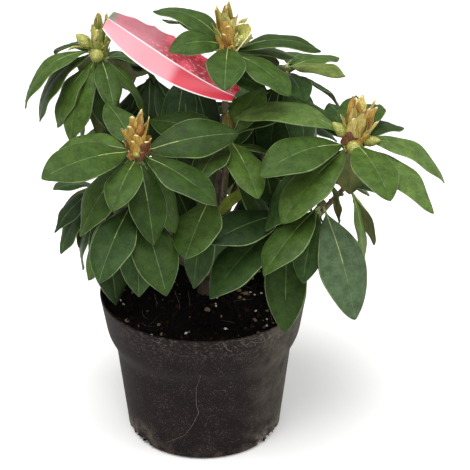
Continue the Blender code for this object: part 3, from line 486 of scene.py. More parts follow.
# Each shoot: tip in mm, twig's length, height of the bough's foot, and its leaves as
# (turn, rise, bend, length, roll, width share, drop). Fill is (count, middle turn, spread, rise) of the
# leaves that follow by rule, bud is (turn, lean, height, radius), and side buds are (turn, rise, distance,
# length, radius).
shoots = {
    "top": {
        "tip": (23, 10, 375), "twig": 62, "foot": 54,
        "leaves": (
            (-92, 20, 50, 80, 0, 0.44), (150, 55, 80, 86), (-45, 10, 45, 80), (5, 36, 72, 88),
            (-150, 38, 60, 62, -30, 0.46), (160, 38, 40, 66, 25), (25, 5, 40, 74)),
        "fill": (3, 85, 90, 0), "bud": (170, 6, 44, 12),
        "sideBuds": ((-20, 35, 15, 24, 6), (200, 10, 9, 12, 4.5)),
    },
    "left_front": {
        "tip": (-54, -75, 315), "twig": 60, "foot": 35,
        "leaves": (
            (-142, 20, 35, 98, -25), (15, 18, 25, 90, 35), (-105, 5, 35, 76), (120, 45, 40, 68),
            (165, 15, 40, 72, -20), (-40, 5, 35, 92), (-75, -30, 35, 80), (-45, -35, 35, 72),
            (-150, -32, 35, 88, -10)),
        "fill": (1, 85, 20, -8), "bud": (0, 3, 40, 12),
        "sideBuds": ((-90, 15, 8, 9, 3.6),),
    },
    "right": {
        "tip": (131, -40, 308), "twig": 60, "foot": 36,
        "leaves": (
            (165, 43, 75, 114, 0, 0.38), (-135, -10, 35, 100, 0, 0.46), (-145, 24, 50, 100, -15),
            (-42, 10, 58, 103, 0, 0.34), (-70, 10, 45, 86, 0, 0.46), (-8, 24, 92, 98, 0, 0.34),
            (150, 48, 70, 92), (82, 52, 60, 66),
            (66, 42, 70, 70), (45, 28, 70, 72), (108, 47, 60, 60), (-150, -15, 40, 106),
            (92, -54, 34, 66, 0, 0.48), (30, -62, 30, 50, 0, 0.28, 44)),
        "fill": (0, 0, 0, 0), "bud": (10, 24, 46, 13),
        "sideBuds": ((175, 45, 16, 20, 5.5), (-90, 0, 11, 14, 6.5), (-25, 15, 17, 18, 5)),
    },
    "left_back": {
        "tip": (-92, 40, 358), "twig": 60, "foot": 37,
        "leaves": (
            (-165, 15, 100, 94, 0, 0.36), (-130, -35, 50, 84, 0, 0.44), (-75, 0, 50, 64, 0, 0.38),
            (-78, -45, 50, 64), (-172, -10, 80, 92), (140, 25, 80, 62), (-155, -25, 60, 78),
            (-165, -50, 50, 80), (-30, -58, 40, 78), (60, -70, 50, 80)),
        "inner": ((-5, -30, 50, 72),),
        "fill": (3, 70, 100, -15), "bud": (0, 10, 42, 9),
        "sideBuds": ((180, 42, 17, 18, 5.5), (-95, 5, 10, 14, 6.5)),
    },
    "middle": {
        "tip": (24, -20, 301), "twig": 62, "foot": 46,
        "leaves": (
            (-70, 2, 40, 78), (-112, 15, 40, 74), (145, 15, 30, 88, -20), (65, 58, 60, 72), (45, 25, 40, 80),
            (95, 72, 60, 30, 0, 0.34)),
        "inner": ((-20, -38, 30, 76, 0, 0.42, 26),),
        "fill": (2, 70, 120, -15),
    },
    "back_right": {
        "tip": (74, 60, 334), "twig": 60, "foot": 36,
        "leaves": ((-35, 27, 40, 66), (35, 17, 40, 64), (-75, 25, 50, 68), (35, -12, 50, 84)),
        "inner": (
            (-60, -38, 50, 82), (-112, -45, 40, 86), (-12, -42, 50, 80), (-150, -20, 50, 84, 0, 0.42, 14)),
        "fill": (4, 110, 130, 0),
    },
    "low_left": {
        "tip": (-94, 10, 241), "twig": 50, "foot": 13,
        "leaves": (
            (-125, 34, 30, 66), (-145, -8, 50, 60), (-150, -27, 50, 72), (-165, -50, 50, 84),
            (165, -50, 50, 74, 0, 0.3)),
        "inner": ((-73, -52, 20, 108, 0, 0.36),),
        "fill": (3, 100, 90, -20),
    },
    "low_left_front": {
        "tip": (-56, -82, 275), "twig": 55, "foot": 24,
        "leaves": (
            (-113, -14, 35, 88, 0, 0.44), (-66, -30, 25, 90, 0, 0.46), (-88, -55, 30, 84), (100, -75, 30, 90),
            (-150, -35, 40, 84), (-30, -70, 30, 84)),
        "fill": (0, 0, 0, 0),
    },
    "low_middle": {
        "tip": (9, -50, 261), "twig": 50, "foot": 13,
        "leaves": ((-106, 0, 30, 83, 0, 0.52), (-125, -55, 30, 84), (-60, -75, 30, 70)),
        "fill": (1, 120, 20, -60),
    },
    "low_right_front": {
        "tip": (77, -40, 238), "twig": 58, "foot": 24,
        "leaves": (
            (-140, 16, 30, 92, -20, 0.44), (-138, -13, 30, 106, 0, 0.44), (-92, -46, 30, 104, 0, 0.36),
            (-115, -60, 30, 70)),
        "fill": (0, 0, 0, 0),
    },
    "low_right": {
        "tip": (104, -66, 262), "twig": 50, "foot": 13,
        "leaves": (
            (-60, -42, 30, 106, 0, 0.44), (-129, -9, 30, 88, 0, 0.46), (-112, -36, 40, 70), (0, -70, 30, 76)),
        "fill": (0, 0, 0, 0),
    },
    "right_back": {
        "tip": (132, 30, 233), "twig": 50, "foot": 24,
        "leaves": ((-20, -65, 30, 92, 0, 0.24), (32, -50, 30, 80, 0, 0.3)),
        "fill": (2, 100, 60, 15),
    },
    "inner_left": {
        "tip": (-30, -8, 262), "twig": 46, "foot": 46,
        "leaves": (),
        "inner": (
            (-128, -18, 40, 80), (-75, -40, 30, 66), (175, -25, 40, 72), (150, 30, 50, 70),
            (-40, 20, 40, 50)),
        "fill": (2, 80, 100, -10),
    },
    "inner_right": {
        "tip": (58, 6, 262), "twig": 46, "foot": 46,
        "leaves": (),
        "inner": (
            (-130, 5, 25, 70, 0, 0.2, 10), (-120, -50, 30, 80), (-85, 10, 30, 60), (-30, 10, 40, 58),
            (165, 15, 40, 70), (115, 25, 40, 66)),
        "fill": (2, 80, 100, 10),
    },
    "back_left": {
        "tip": (-48, 82, 322), "twig": 60, "foot": 36,
        "leaves": (),
        "inner": (
            (-92, -32, 50, 82), (-50, -28, 50, 84), (-135, -30, 50, 80), (-150, -8, 50, 84, 0, 0.42, 20)),
        "fill": (6, 95, 230, 0),
    },
    "upper_back": {
        "tip": (-14, 62, 336), "twig": 60, "foot": 46,
        "leaves": (),
        "inner": (
            (-105, -30, 50, 80), (-150, -25, 50, 84), (-60, -35, 50, 80), (-90, -45, 40, 80, 0, 0.42, 34),
            (-50, -40, 40, 76, 0, 0.42, 36), (-125, -42, 40, 80, 0, 0.42, 38)),
        "fill": (6, 95, 250, 0),
    },
    "back": {
        "tip": (45, 115, 275), "twig": 60, "foot": 36,
        "leaves": (),
        "inner": ((-88, -30, 40, 80), (-60, -38, 40, 88), (-116, -28, 40, 86)),
        "fill": (8, 90, 300, 4),
    },
    "back_middle": {
        "tip": (-28, 104, 262), "twig": 50, "foot": 24,
        "leaves": (),
        "inner": ((-50, -25, 40, 86), (-80, -30, 40, 80)),
        "fill": (7, 100, 250, 0),
    },
    "low_back_left": {
        "tip": (-70, 85, 215), "twig": 45, "foot": 13, "leaves": (), "fill": (6, 125, 220, -18),
    },
    "low_back": {"tip": (20, 100, 205), "twig": 45, "foot": 24, "leaves": (), "fill": (6, 90, 220, -18)},
    "low_back_right": {
        "tip": (100, 80, 215), "twig": 45, "foot": 13, "leaves": (), "fill": (5, 75, 210, 8),
    },
}


def arr(*values):
    # The values, or rows of values, as one array
    return np.array(values, float)


def potInside(height):
    # Straight runs between the outside's bends, less the wall
    heights = arr(pot["base"], pot["shoulderHeight"], pot["collarHeight"], pot["height"])
    radii = arr(pot["baseRadius"], pot["shoulderRadius"], pot["collarRadius"], pot["rimRadius"]) - pot["wall"]
    return np.interp(height, heights, radii)


mixEdge = float(potInside(pot["height"] - pot["mixDrop"])) - gap


def mixHeight(radius):
    # A low dome: crown times the cosine of a quarter turn, out to its edge
    swell = np.cos(math.pi / 2 * np.minimum(radius / mixEdge, 1.0))
    return pot["height"] - pot["mixDrop"] + pot["mixCrown"] * swell


def stemPoint(height):
    # Upright at its foot, then leaning right by the square of the height, with one sway
    height = np.asarray(height, float)
    share = height / stem["height"]
    sway = stem["sway"] * np.sin(math.pi * share) ** 2
    foot = mixHeight(math.hypot(*stem["place"])) + gap
    return np.stack([stem["place"][0] + stem["lean"] * share * height - sway, stem["place"][1] + 0.4 * sway,
                     foot + height], -1)


def stemRadius(height):
    # A straight taper, and a flare that fades upwards by exp(-height / flare)
    flare = (stem["footRadius"] - stem["radius"]) * np.exp(-height / stem["flare"])
    return stem["radius"] + (stem["topRadius"] - stem["radius"]) * height / stem["height"] + flare


def twigAxis(shoot):
    # Foot, tip and direction of the twig: between straight up and away from the stem's top
    tip = arr(*shoot["tip"]) * mm
    away = unit(tip - stemPoint(stem["height"]))
    along = unit(away + arr(0, 0, bough["upright"]))
    return tip - along * shoot["twig"] * mm, tip, along


def boughPath(shoot, shares):
    # Cubic Bezier from inside the stem to just below the twig
    foot, _, along = twigAxis(shoot)
    start = stemPoint(shoot["foot"] * mm)
    end = foot - along * gap
    if shoot["foot"] * mm >= stem["height"]:
        leave = unit(stemPoint(stem["height"]) - stemPoint(stem["height"] - 2 * mm))
        start = stemPoint(stem["height"]) + leave * gap
    else:
        flat = unit(arr(end[0], end[1], 0))
        leave = unit(flat + arr(0, 0, 0.9))
    reach = np.linalg.norm(end - start) * bough["reach"]
    t = np.asarray(shares, float)[:, None]
    return ((1 - t) ** 3 * start + 3 * t * (1 - t) ** 2 * (start + leave * reach)
            + 3 * t * t * (1 - t) * (end - along * reach) + t ** 3 * end)


def boughRadii(shares, extra=0.0):
    # A straight taper from the foot to the tip
    taper = (bough["tipRadius"] - bough["footRadius"]) * np.asarray(shares, float)
    return bough["footRadius"] + taper + extra


def leafValues(leaf):
    # A leaf's row, with the usual roll, width share and drop where it gives none
    return tuple(leaf) + (0, blade["share"], 0)[len(leaf) - 4:]


def bladeWidth(s):
    # Half width, 1 at the widest: a narrow stalk, then sin(pi t^1.05)^0.8 over the blade
    t = np.clip((s - blade["stalkEnd"]) / (1 - blade["stalkEnd"]), 0, 1)
    oval = np.maximum(np.sin(math.pi * t ** 1.05), 0) ** 0.8
    return np.where(s < 0.6, np.maximum(oval, blade["stalkShare"]), oval)


def midline(foot, turn, rise, bend, length, s):
    # An arc of constant bend that starts at the slope rise: its points, and its directions along, left and up
    turn, rise, bend = (np.radians(np.asarray(v, float))[..., None] for v in (turn, rise, bend))
    bend = np.where(np.abs(bend) > 0.01, bend, 0.01)
    length = np.asarray(length, float)[..., None]
    slope = rise - bend * s
    out = length * (np.sin(rise) - np.sin(slope)) / bend
    up = length * (np.cos(slope) - np.cos(rise)) / bend
    zero = np.zeros_like(slope)
    flat = np.stack([np.cos(turn) + zero, np.sin(turn) + zero, zero], -1)
    left = np.stack([-np.sin(turn) + zero, np.cos(turn) + zero, zero], -1)
    rising = arr(0, 0, 1)
    middle = np.asarray(foot)[..., None, :] + flat * out[..., None] + rising * up[..., None]
    along = flat * np.cos(slope)[..., None] + rising * np.sin(slope)[..., None]
    return middle, along, left, np.cross(along, left)


def testTree(points, faces):
    # What finds the faces of two shapes that cross
    return BVHTree.FromPolygons([tuple(p) for p in points.tolist()], [tuple(f) for f in faces])


def leafTest(foot, leaf, stations, extra):
    # Plain four-sided blade of the frame, for the tests of what touches what
    turn, rise, bend, length, roll, share, _ = leafValues(leaf)
    s = arr(*stations, 1.0)
    middle, along, left, normal = midline(foot, turn, rise, bend, length * mm, s)
    q = math.radians(roll)
    side = left * math.cos(q) + normal * math.sin(q)
    face = normal * math.cos(q) - left * math.sin(q)
    half = (bladeWidth(s) * length * mm * share / 2 + extra)[:, None]
    thick = np.where(s <= blade["stalkEnd"], blade["stalkHalfThickness"], blade["halfThickness"])
    thick = (thick + extra)[:, None]
    edge = face * (-blade["edgeDrop"] * half)
    rings = np.stack([middle + side * half + edge, middle + face * thick, middle - side * half + edge,
                      middle - face * thick], 1)[:-1]
    last = 4 * (len(stations) - 1)
    faces = quadTable(len(stations), 4).tolist() + [(3, 2, 1, 0)]
    faces += [(last + k, last + (k + 1) % 4, last + 4) for k in range(4)]
    return np.concatenate([rings.reshape(-1, 3), (middle + along * extra)[-1:]]), faces


def acrossTo(along):
    # mathutils' orthogonal: swaps two parts and turns the sign of the smallest axis
    return np.array(Vector(along).orthogonal().normalized())


def raysAround(along, turn):
    # Directions square to the way along, one for each turn
    first = acrossTo(along)
    return first * np.cos(turn)[:, None] + np.cross(along, first) * np.sin(turn)[:, None]


def tubeTest(points, radii, sides=8):
    # Regular rings round a path, each square to the chord between its neighbours
    rings = []
    turn = np.arange(sides) * 2 * math.pi / sides
    for i in range(len(points)):
        along = unit(points[min(i + 1, len(points) - 1)] - points[max(i - 1, 0)])
        rings.append(points[i] + raysAround(along, turn) * radii[i])
    return np.concatenate(rings), quadTable(len(points), sides).tolist()


def ballTest(centre, along, length, radius, extra):
    # An egg of few faces: radius times sin(angle) round the axis, half length times cos(angle) along it
    sides, rings = 6, 4
    first = acrossTo(along)
    second = np.cross(along, first)
    angle = (math.pi * np.arange(1, rings) / rings)[:, None, None]
    turn = (2 * math.pi * np.arange(sides) / sides)[None, :, None]
    out = (radius + extra) * np.sin(angle)
    body = centre - along * ((length / 2 + extra) * np.cos(angle)) + first * (out * np.cos(turn))
    body = (body + second * (out * np.sin(turn))).reshape(-1, 3)
    pole = along * (length / 2 + extra)
    points = np.concatenate([[centre - pole], body, [centre + pole]])
    faces = [tuple(v + 1 for v in quad) for quad in quadTable(rings - 1, sides).tolist()]
    last = 1 + (rings - 2) * sides
    for k in range(sides):
        n = (k + 1) % sides
        faces += [(0, 1 + n, 1 + k), (last + k, last + n, len(points) - 1)]
    return points, faces


def compass(turn, rise):
    # Direction at this turn from +X and this rise from the level, in degrees
    a, r = math.radians(turn), math.radians(rise)
    return arr(math.cos(r) * math.cos(a), math.cos(r) * math.sin(a), math.sin(r))


def budTests(shoot, extra):
    # The frame's buds: an egg with its scales as small blades, and eggs for the side buds
    shapes = []
    _, tip, _ = twigAxis(shoot)
    if "bud" in shoot:
        turn, lean, height, radius = shoot["bud"]
        along = compass(turn, 90 - lean)
        centre = tip + along * (0.36 * height * mm)
        shapes.append(ballTest(centre, along, 0.8 * height * mm, 0.75 * radius * mm, extra))
        rows = [(turn, 90 - lean, 4, height, 0, 0.3, 0)]
        for ring, (count, share, rise) in enumerate(((4, 0.86, 82), (5, 0.66, 66))):
            for i in range(count):
                around = 360 * (i + 0.5 * ring) / count + 20
                tilt = lean * math.cos(math.radians(around - turn))
                rows.append((around, rise - tilt, 12 - 26 * ring, height * share, 0, 0.36, 0))
        shapes += [leafTest(tip, row, blade["scaleStations"], extra) for row in rows]
    for turn, rise, distance, length, radius in shoot.get("sideBuds", ()):
        along = compass(turn, rise)
        shapes.append(ballTest(tip + along * distance * mm, along, length * mm, radius * mm, extra))
    return shapes


def cardPoint(u, v):
    # u runs along the card from its low end, v across it from -1 at the belly to 1 at the back
    low, high = arr(*card["low"]), arr(*card["high"])
    along = high - low
    sideways = unit(np.cross(arr(0, 1, 0), along))
    swell = np.sin(math.pi * (0.04 + 0.89 * u))
    reach = np.where(v < 0, -card["belly"] * swell ** 0.6, card["back"] * swell ** 0.4)
    scallop = card["scallop"] * np.abs(np.sin(7 * math.pi * u)) * np.maximum(v, 0.0)
    bow = card["bow"] * (np.sin(math.pi * u) - v * v)
    return (low + along * u[..., None] + sideways * (reach * np.abs(v) - scallop * swell)[..., None]
            + arr(0, 1, 0) * bow[..., None])


def gridTest(points):
    # Four-sided faces over a grid of points with open edges
    rows, columns = points.shape[:2]
    i, j = np.meshgrid(np.arange(rows - 1), np.arange(columns - 1), indexing="ij")
    a = (i * columns + j).ravel()
    return points.reshape(-1, 3), np.stack([a, a + columns, a + columns + 1, a + 1], -1).tolist()


def potTest():
    # A profile over the mix and the rim and down the outside, a little clear of them, turned about Z
    rim, collar, clear = pot["rimRadius"], pot["collarRadius"], blade["clearance"]
    rows = (
        (0.0, mixHeight(0.0)), (rim - 8 * mm, mixHeight(rim)),
        (rim - pot["wall"] - clear, pot["height"] - 2 * mm), (rim, pot["height"] + clear),
        (collar + clear, pot["collarHeight"]), (pot["baseRadius"], 0.0))
    turn = np.arange(32) * 2 * math.pi / 32
    points = np.array([[(r * c, r * s, z) for c, s in zip(np.cos(turn), np.sin(turn))] for r, z in rows])
    return points.reshape(-1, 3), quadTable(len(rows), 32).tolist()


def obstacle(owner, shape):
    # Whose it is, the two corners of its box, and its tree
    return owner, shape[0].min(0), shape[0].max(0), testTree(*shape)


def isClear(owner, shape, obstacles):
    # Nothing of another owner's crosses it; only those whose boxes meet are tried
    low, high = shape[0].min(0), shape[0].max(0)
    tree = None
    for other, otherLow, otherHigh, otherTree in obstacles:
        if other == owner or np.any(low > otherHigh) or np.any(high < otherLow):
            continue
        tree = tree or testTree(*shape)
        if tree.overlap(otherTree):
            return False
    return True


def fillLeaves(shoot, rng):
    # Leaves spread evenly over the free turn, each strayed a little at random
    count, middle, spreadTurn, rise = shoot["fill"]
    rows = []
    for i in range(count):
        turn = middle + spreadTurn * ((i + 0.5) / count - 0.5) + rng.uniform(-fill["jitter"], fill["jitter"])
        rows.append((turn, rise + rng.uniform(-fill["jitter"], fill["jitter"]), rng.uniform(*fill["bend"]),
                     rng.uniform(*fill["length"])))
    return rows


def settleLeaves():
    # The frame's rule: each leaf takes its place, or the first nudged one that touches no other shoot
    clear = blade["clearance"]
    u = np.linspace(0, 1, card["rows"])[:, None] + np.zeros((1, card["columns"]))
    v = np.linspace(-1, 1, card["columns"])[None, :] + np.zeros((card["rows"], 1))
    obstacles = [obstacle("limbs", potTest()), obstacle("limbs", gridTest(cardPoint(u, v)))]
    heights = stem["height"] * np.arange(9) / 8
    obstacles.append(obstacle("limbs", tubeTest(stemPoint(heights), stemRadius(heights) + clear)))
    for name, shoot in shoots.items():
        limb = tubeTest(boughPath(shoot, bough["steps"]), boughRadii(bough["steps"], clear))
        obstacles.append(obstacle("limbs", limb))
        foot, tip, along = twigAxis(shoot)
        radii = [bough["tipRadius"] + clear, (bough["tipRadius"] + bough["twigTipRadius"]) / 2 + clear,
                 bough["twigTipRadius"] + clear]
        twig = tubeTest(np.array([foot, (foot + tip) / 2, tip + along * 2 * mm]), radii, 6)
        obstacles.append(obstacle(name, twig))
        obstacles += [obstacle(name, shape) for shape in budTests(shoot, clear)]
    rng = random.Random(fill["seed"])
    chosen = {name: [] for name in shoots}
    for stage in ("leaves", "inner", "fill"):
        for name, shoot in shoots.items():
            rows = fillLeaves(shoot, rng) if stage == "fill" else shoot.get(stage, ())
            _, tip, along = twigAxis(shoot)
            for leaf in rows:
                drop = leafValues(leaf)[6] * mm or blade["step"] * (len(chosen[name]) % blade["tiers"])
                foot = tip - along * drop
                for turn, rise in nudges:
                    moved = (leaf[0] + turn, leaf[1] + rise, *leaf[2:])
                    shape = leafTest(foot, moved, blade["stations"], clear)
                    if isClear(name, shape, obstacles):
                        chosen[name].append((foot, moved))
                        obstacles.append(obstacle(name, shape))
                        break
    return chosen


# A leaf's own relief: groove above and rib below the midrib, side veins, waved and rolled margin. Columns are
# the places across half the blade; a narrow strip down the middle carries the midrib's colour
leafForm = {
    "stalkEnd": 0.1, "lead": 0.0, "power": 1.05, "swell": 0.8, "stalkRadius": 1.15 * mm,
    "thickness": 0.5 * mm, "edgeDrop": 0.18, "fold": 0.13, "groove": 0.5 * mm, "rib": 0.9 * mm,
    "ribHalf": 1.6 * mm, "vein": 0.28 * mm, "veinSpacing": 8 * mm, "veinSlope": 0.75, "wave": 1.1 * mm,
    "roll": 0.9 * mm, "twist": 8.0, "rows": 34, "columns": (1.0, 0.955, 0.78, 0.56, 0.34, 0.14),
    "strip": 0.5 * mm,
}
# A bract is broad at its foot, hugs the bud and has no stalk
bractForm = {
    "stalkEnd": 0.0, "lead": 0.28, "power": 1.0, "swell": 0.55, "stalkRadius": 0.3 * mm,
    "thickness": 0.5 * mm, "edgeDrop": -0.42, "fold": 0.0, "groove": 0.0, "rib": 0.3 * mm,
    "ribHalf": 0.6 * mm, "vein": 0.0, "veinSpacing": 8 * mm, "veinSlope": 0.0, "wave": 0.8 * mm,
    "roll": 0.0, "twist": 14.0, "rows": 14, "columns": (1.0, 0.84, 0.45), "strip": 0.5 * mm,
}
# What all blades share: rings in the stalk, where the last ring stands and how far past it the tip is drawn,
# and what each draws at random: how full its outline is, and how often its sides wave
bladeMake = {
    "stalkRings": 4, "lastRing": 0.985, "tipDraw": 0.012, "full": (-0.05, 0.08), "beats": (1.6, 3.0),
}


def bladeRings(rows, form, seed):
    # Blades whose cross-sections run over the top from left to right and back below. A point at share s along
    # and v across is midline(s) + side * half(s) v + face * (relief above or below). Rows lie closer near
    # both ends, and the last stops just short of the tip
    rng = np.random.default_rng(seed)
    foot = np.array([row[0] for row in rows])
    turn, rise, bend, length, roll, share = np.array([row[1][:6] for row in rows], float).T
    length = length * mm
    count = len(rows)
    end = form["stalkEnd"]
    stalk = np.linspace(0, end, bladeMake["stalkRings"] + 1)[:-1] if end else np.zeros(0)
    t = np.linspace(0, 1, form["rows"] - len(stalk))
    t = 0.5 * t + 0.25 * (1 - np.cos(math.pi * t))
    s = np.concatenate([stalk, end + (1 - end) * t * bladeMake["lastRing"]])
    middle, along, left, normal = midline(foot, turn, rise, bend, length, s)
    begin = rng.uniform(0, 2, (count, 1))
    twist = np.radians(roll[:, None] + form["twist"] * np.sin(math.pi * (s + begin)) * s)
    side = left * np.cos(twist)[..., None] + normal * np.sin(twist)[..., None]
    face = normal * np.cos(twist)[..., None] - left * np.sin(twist)[..., None]
    # Half width: sin(pi t^power)^swell, which fades into the round stalk
    t = np.clip((s - end) / (1 - end), 0, 1)
    t = form["lead"] + (1 - form["lead"]) * t
    swell = form["swell"] + rng.uniform(*bladeMake["full"], (count, 1))
    oval = np.maximum(np.sin(math.pi * t ** form["power"]), 0) ** swell
    fade = np.clip((0.6 - s) / 0.5, 0, 1)
    half = np.hypot(oval * (length * share)[:, None] / 2, form["stalkRadius"] * fade)[..., None]
    columns = arr(*form["columns"]) + np.zeros(half.shape)
    strip = np.minimum(form["strip"] * (1 - 0.6 * s)[:, None] / half, 0.1)
    v = np.concatenate([columns, strip, -strip, -columns[..., ::-1]], -1)
    upper = np.concatenate([np.ones(v.shape[-1]), -np.ones(v.shape[-1] - 2)])
    v = np.concatenate([v, v[..., -2:0:-1]], -1)
    x = half * v
    # Bow and fold, groove and rib, side veins, waves and rolled margin, and the blade's own thickness
    isBlade = np.clip(oval * 3, 0, 1)[..., None]
    rib = np.exp(-(x / form["ribHalf"]) ** 2)
    lift = -form["edgeDrop"] * half * v ** 2 + form["fold"] * half * np.abs(v) * isBlade
    lift = lift - form["groove"] * rib * (upper > 0) * isBlade * (1 - 0.6 * s[:, None])
    lift = lift - form["rib"] * rib * (upper < 0) * (1 - 0.75 * s[:, None]) * isBlade
    phase = (s * length[:, None])[..., None] - form["veinSlope"] * np.abs(x)
    bulge = np.cos(2 * math.pi * phase / form["veinSpacing"])
    lift = lift - form["vein"] * bulge * isBlade * (1 - v ** 2) * np.minimum(np.abs(v) * 4, 1)
    beat = rng.uniform(*bladeMake["beats"], (count, 1, 2))
    shift = rng.uniform(0, 2 * math.pi, (count, 1, 2))
    ripple = np.sin(2 * math.pi * beat * s[None, :, None] + shift)
    ripple = np.where(v > 0, ripple[:, :, :1], ripple[:, :, 1:])
    lift = lift + form["wave"] * ripple * v ** 2 * isBlade - form["roll"] * np.abs(v) ** 8 * isBlade
    body = form["thickness"] / 2 + (form["stalkRadius"] - form["thickness"] / 2) * (1 - isBlade) ** 2
    lift = lift + upper * body * np.sqrt(1 - v ** 2)
    rings = middle[:, :, None] + side[:, :, None] * x[..., None] + face[:, :, None] * lift[..., None]
    tip = rings[:, -1].mean(1) + along[:, -1] * (length * bladeMake["tipDraw"])[:, None]
    return rings, rings[:, 0].mean(1), tip, s


def bladePiece(name, rows, form, seed, materials, wear):
    # One joined mesh of all these blades; wear(row, s, place) says which material each face has
    rings, start, tip, s = bladeRings(rows, form, seed)
    around = rings.shape[2]
    top = around // 2 + 1
    place = np.where(np.arange(around) >= top - 1, "under", "face").astype(object)
    place[top // 2 - 1] = "strip"
    place[[0, top - 2]] = "rim"
    slots = np.array([wear(row, (s[:-1] + s[1:]) / 2, place) for row in rows])
    ends = np.concatenate([slots[:, 0], slots[:, -1]], axis=1)
    slots = np.concatenate([slots.ravel(), ends.ravel()])
    return makePiece(name, *loft(rings, start, tip), materials, slots=slots)


# Greens are dealt out by shoot: cool ones low down and at the right, warm ones above, and dark ones, as
# painted shade, to the leaves deep in the crown
leafTints = {
    "seed": 5, "ribReach": (0.7, 1.2), "warm": ("deep", "forest", "forest", "mid", "mid", "fresh"),
    "shade": ("deep", "deep", "bottle", "forest"),
    "cool": ("bottle", "forest", "cool", "cool", "mid", "fresh"),
}
# Leaves of a colour of their own, by shoot and place in its list. The light and grey greens are partly
# painted light: they lift leaves that sit in shade and stand in for the sheen on lit leaves
oddLeaves = {
    ("top", 6): "light", ("back_right", 0): "sallow", ("back_right", 1): "fresh", ("low_left", 5): "deep",
    ("middle", 5): "dry", ("inner_right", 0): "young", ("left_back", 0): "fresh", ("right", 0): "light",
    ("right", 1): "fresh", ("right", 2): "mid", ("right", 3): "light", ("right", 4): "fresh",
    ("right", 5): "light", ("right", 12): "olive", ("low_right", 0): "grey",
    ("low_right_front", 1): "cool", ("low_middle", 0): "mid", ("left_front", 1): "forest",
    ("right_back", 0): "light", ("right_back", 1): "young",
}
# The shoots whose leaves make one piece
pieces = {
    "Upper": ("top", "left_front", "right", "left_back", "middle", "back_right"),
    "Lower": ("low_left", "low_left_front", "low_middle", "low_right_front", "low_right", "right_back",
              "inner_left", "inner_right"),
    "Back": ("back_left", "upper_back", "back", "back_middle", "low_back_left", "low_back", "low_back_right"),
}


def wearLeaf(row, s, place):
    # Midrib strip pale near the foot, greener farther out, then gone; the stalk is pale all round. On leaves
    # deep in the crown's shade the rib and the margin stay green, as painted shade
    green, reach, shadePainted = row[2]
    last = len(leafLook["greens"])
    pale = last + shadePainted
    slots = np.full((len(s), len(place)), green)
    slots[:, place == "under"] = last + 3
    slots[:, place == "rim"] = last + 2 - shadePainted
    strip = np.where(s < 0.45 * reach, pale, np.where(s < reach, last + 1, green))
    slots[:, place == "strip"] = strip[:, None]
    slots[s < leafForm["stalkEnd"]] = pale
    return slots


def makeLeaves(chosen, materials):
    # Each leaf's green is drawn at random from its shoot's, unless it is one of the odd leaves
    rng = np.random.default_rng(leafTints["seed"])
    kinds = list(leafLook["greens"])
    made = []
    for group, names in pieces.items():
        rows = []
        for name in names:
            mood = "cool" if name.startswith("low") or "right" in name else "warm"
            # Leaves of the shoots deep in the crown get the shade mood: darker greens as painted shade
            shadePainted = name.startswith(("inner", "upper", "back_left"))
            mood = leafTints["shade" if shadePainted else mood]
            for i, (foot, leaf) in enumerate(chosen[name]):
                kind = oddLeaves.get((name, i), mood[rng.integers(len(mood))])
                reach = rng.uniform(*leafTints["ribReach"])
                rows.append((foot, leafValues(leaf)[:6], (kinds.index(kind), reach, int(shadePainted))))
        obj = bladePiece("leaves" + group, rows, leafForm, len(rows), materials, wearLeaf)
        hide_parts(*(f"foliage_{name}" for name in names))
        made.append(obj)
        print(obj.name, "with", len(rows), "leaves and", len(obj.data.polygons), "faces")
    return made


# How far each bract may stray from its ring's turn, slope, arch, length, roll and width
budLook = {
    "seed": 21, "outerRing": 4, "turn": (-14, 14), "rise": (-4, 4), "bend": (-8, 10), "length": (0.86, 1.05),
    "roll": (-14, 14), "width": (0.85, 1.12),
}
# Rings of bracts from the middle out: count, share of the bud's height, slope, how far they arch over, and
# width in mm
budRings = (
    (1, 0.92, 90, 3, 11), (4, 0.96, 82, -2, 12), (5, 0.88, 77, -4, 13), (5, 0.72, 73, -8, 13.5),
    (6, 0.50, 66, -18, 13), (6, 0.30, 54, -30, 12))
# The tints of each bud's inner bracts and of its two outer rings
budTints = {
    "top": (("gold", "straw", "gold", "lime"), ("gold", "straw", "amber")),
    "left_front": (("gold", "amber", "gold", "straw"), ("brown", "amber", "gold")),
    "right": (("gold", "straw", "gold", "straw"), ("gold", "brown", "straw")),
    "left_back": (("lime", "green", "straw", "lime"), ("green", "gold", "lime")),
}
# Single bracts that stand off a bud: turn, rise, bend, length, roll, width share, tint, how pale the rim is
looseBracts = {
    "top": ((-14, 56, 14, 32, 58, 0.66, "lime", "white"), (12, 62, 10, 33, -10, 0.5, "lime", "rim"),
            (-50, 22, -40, 21, 50, 0.5, "straw", "white"), (200, 55, -20, 17, 0, 0.4, "gold", "rim")),
    "right": ((178, 62, -10, 30, 0, 0.24, "lime", "rim"), (-20, 5, -30, 20, 0, 0.42, "green", "rim"),
              (-150, 40, -35, 11, 20, 0.5, "brown", "rim")),
    "left_front": ((180, 30, -30, 17, 0, 0.4, "gold", "white"), (-5, 35, -30, 20, 0, 0.34, "gold", "rim")),
    "left_back": ((182, 40, 70, 30, 0, 0.26, "lime", "rim"), (-60, 30, -30, 17, 20, 0.45, "lime", "rim")),
}


def wearBract(row, s, place):
    # The bract's tint, brown and dry at the tip, or pale there and all round
    tint, rim = row[2]
    tints = list(bractLook["tints"])
    slots = np.full((len(s), len(place)), tints.index(tint))
    if rim == "none":
        slots[s > 0.92] = len(tints)
    else:
        pale = len(tints) + 1 + (rim == "white")
        slots[:, place == "rim"] = pale
        slots[s > 0.94] = pale
    return slots


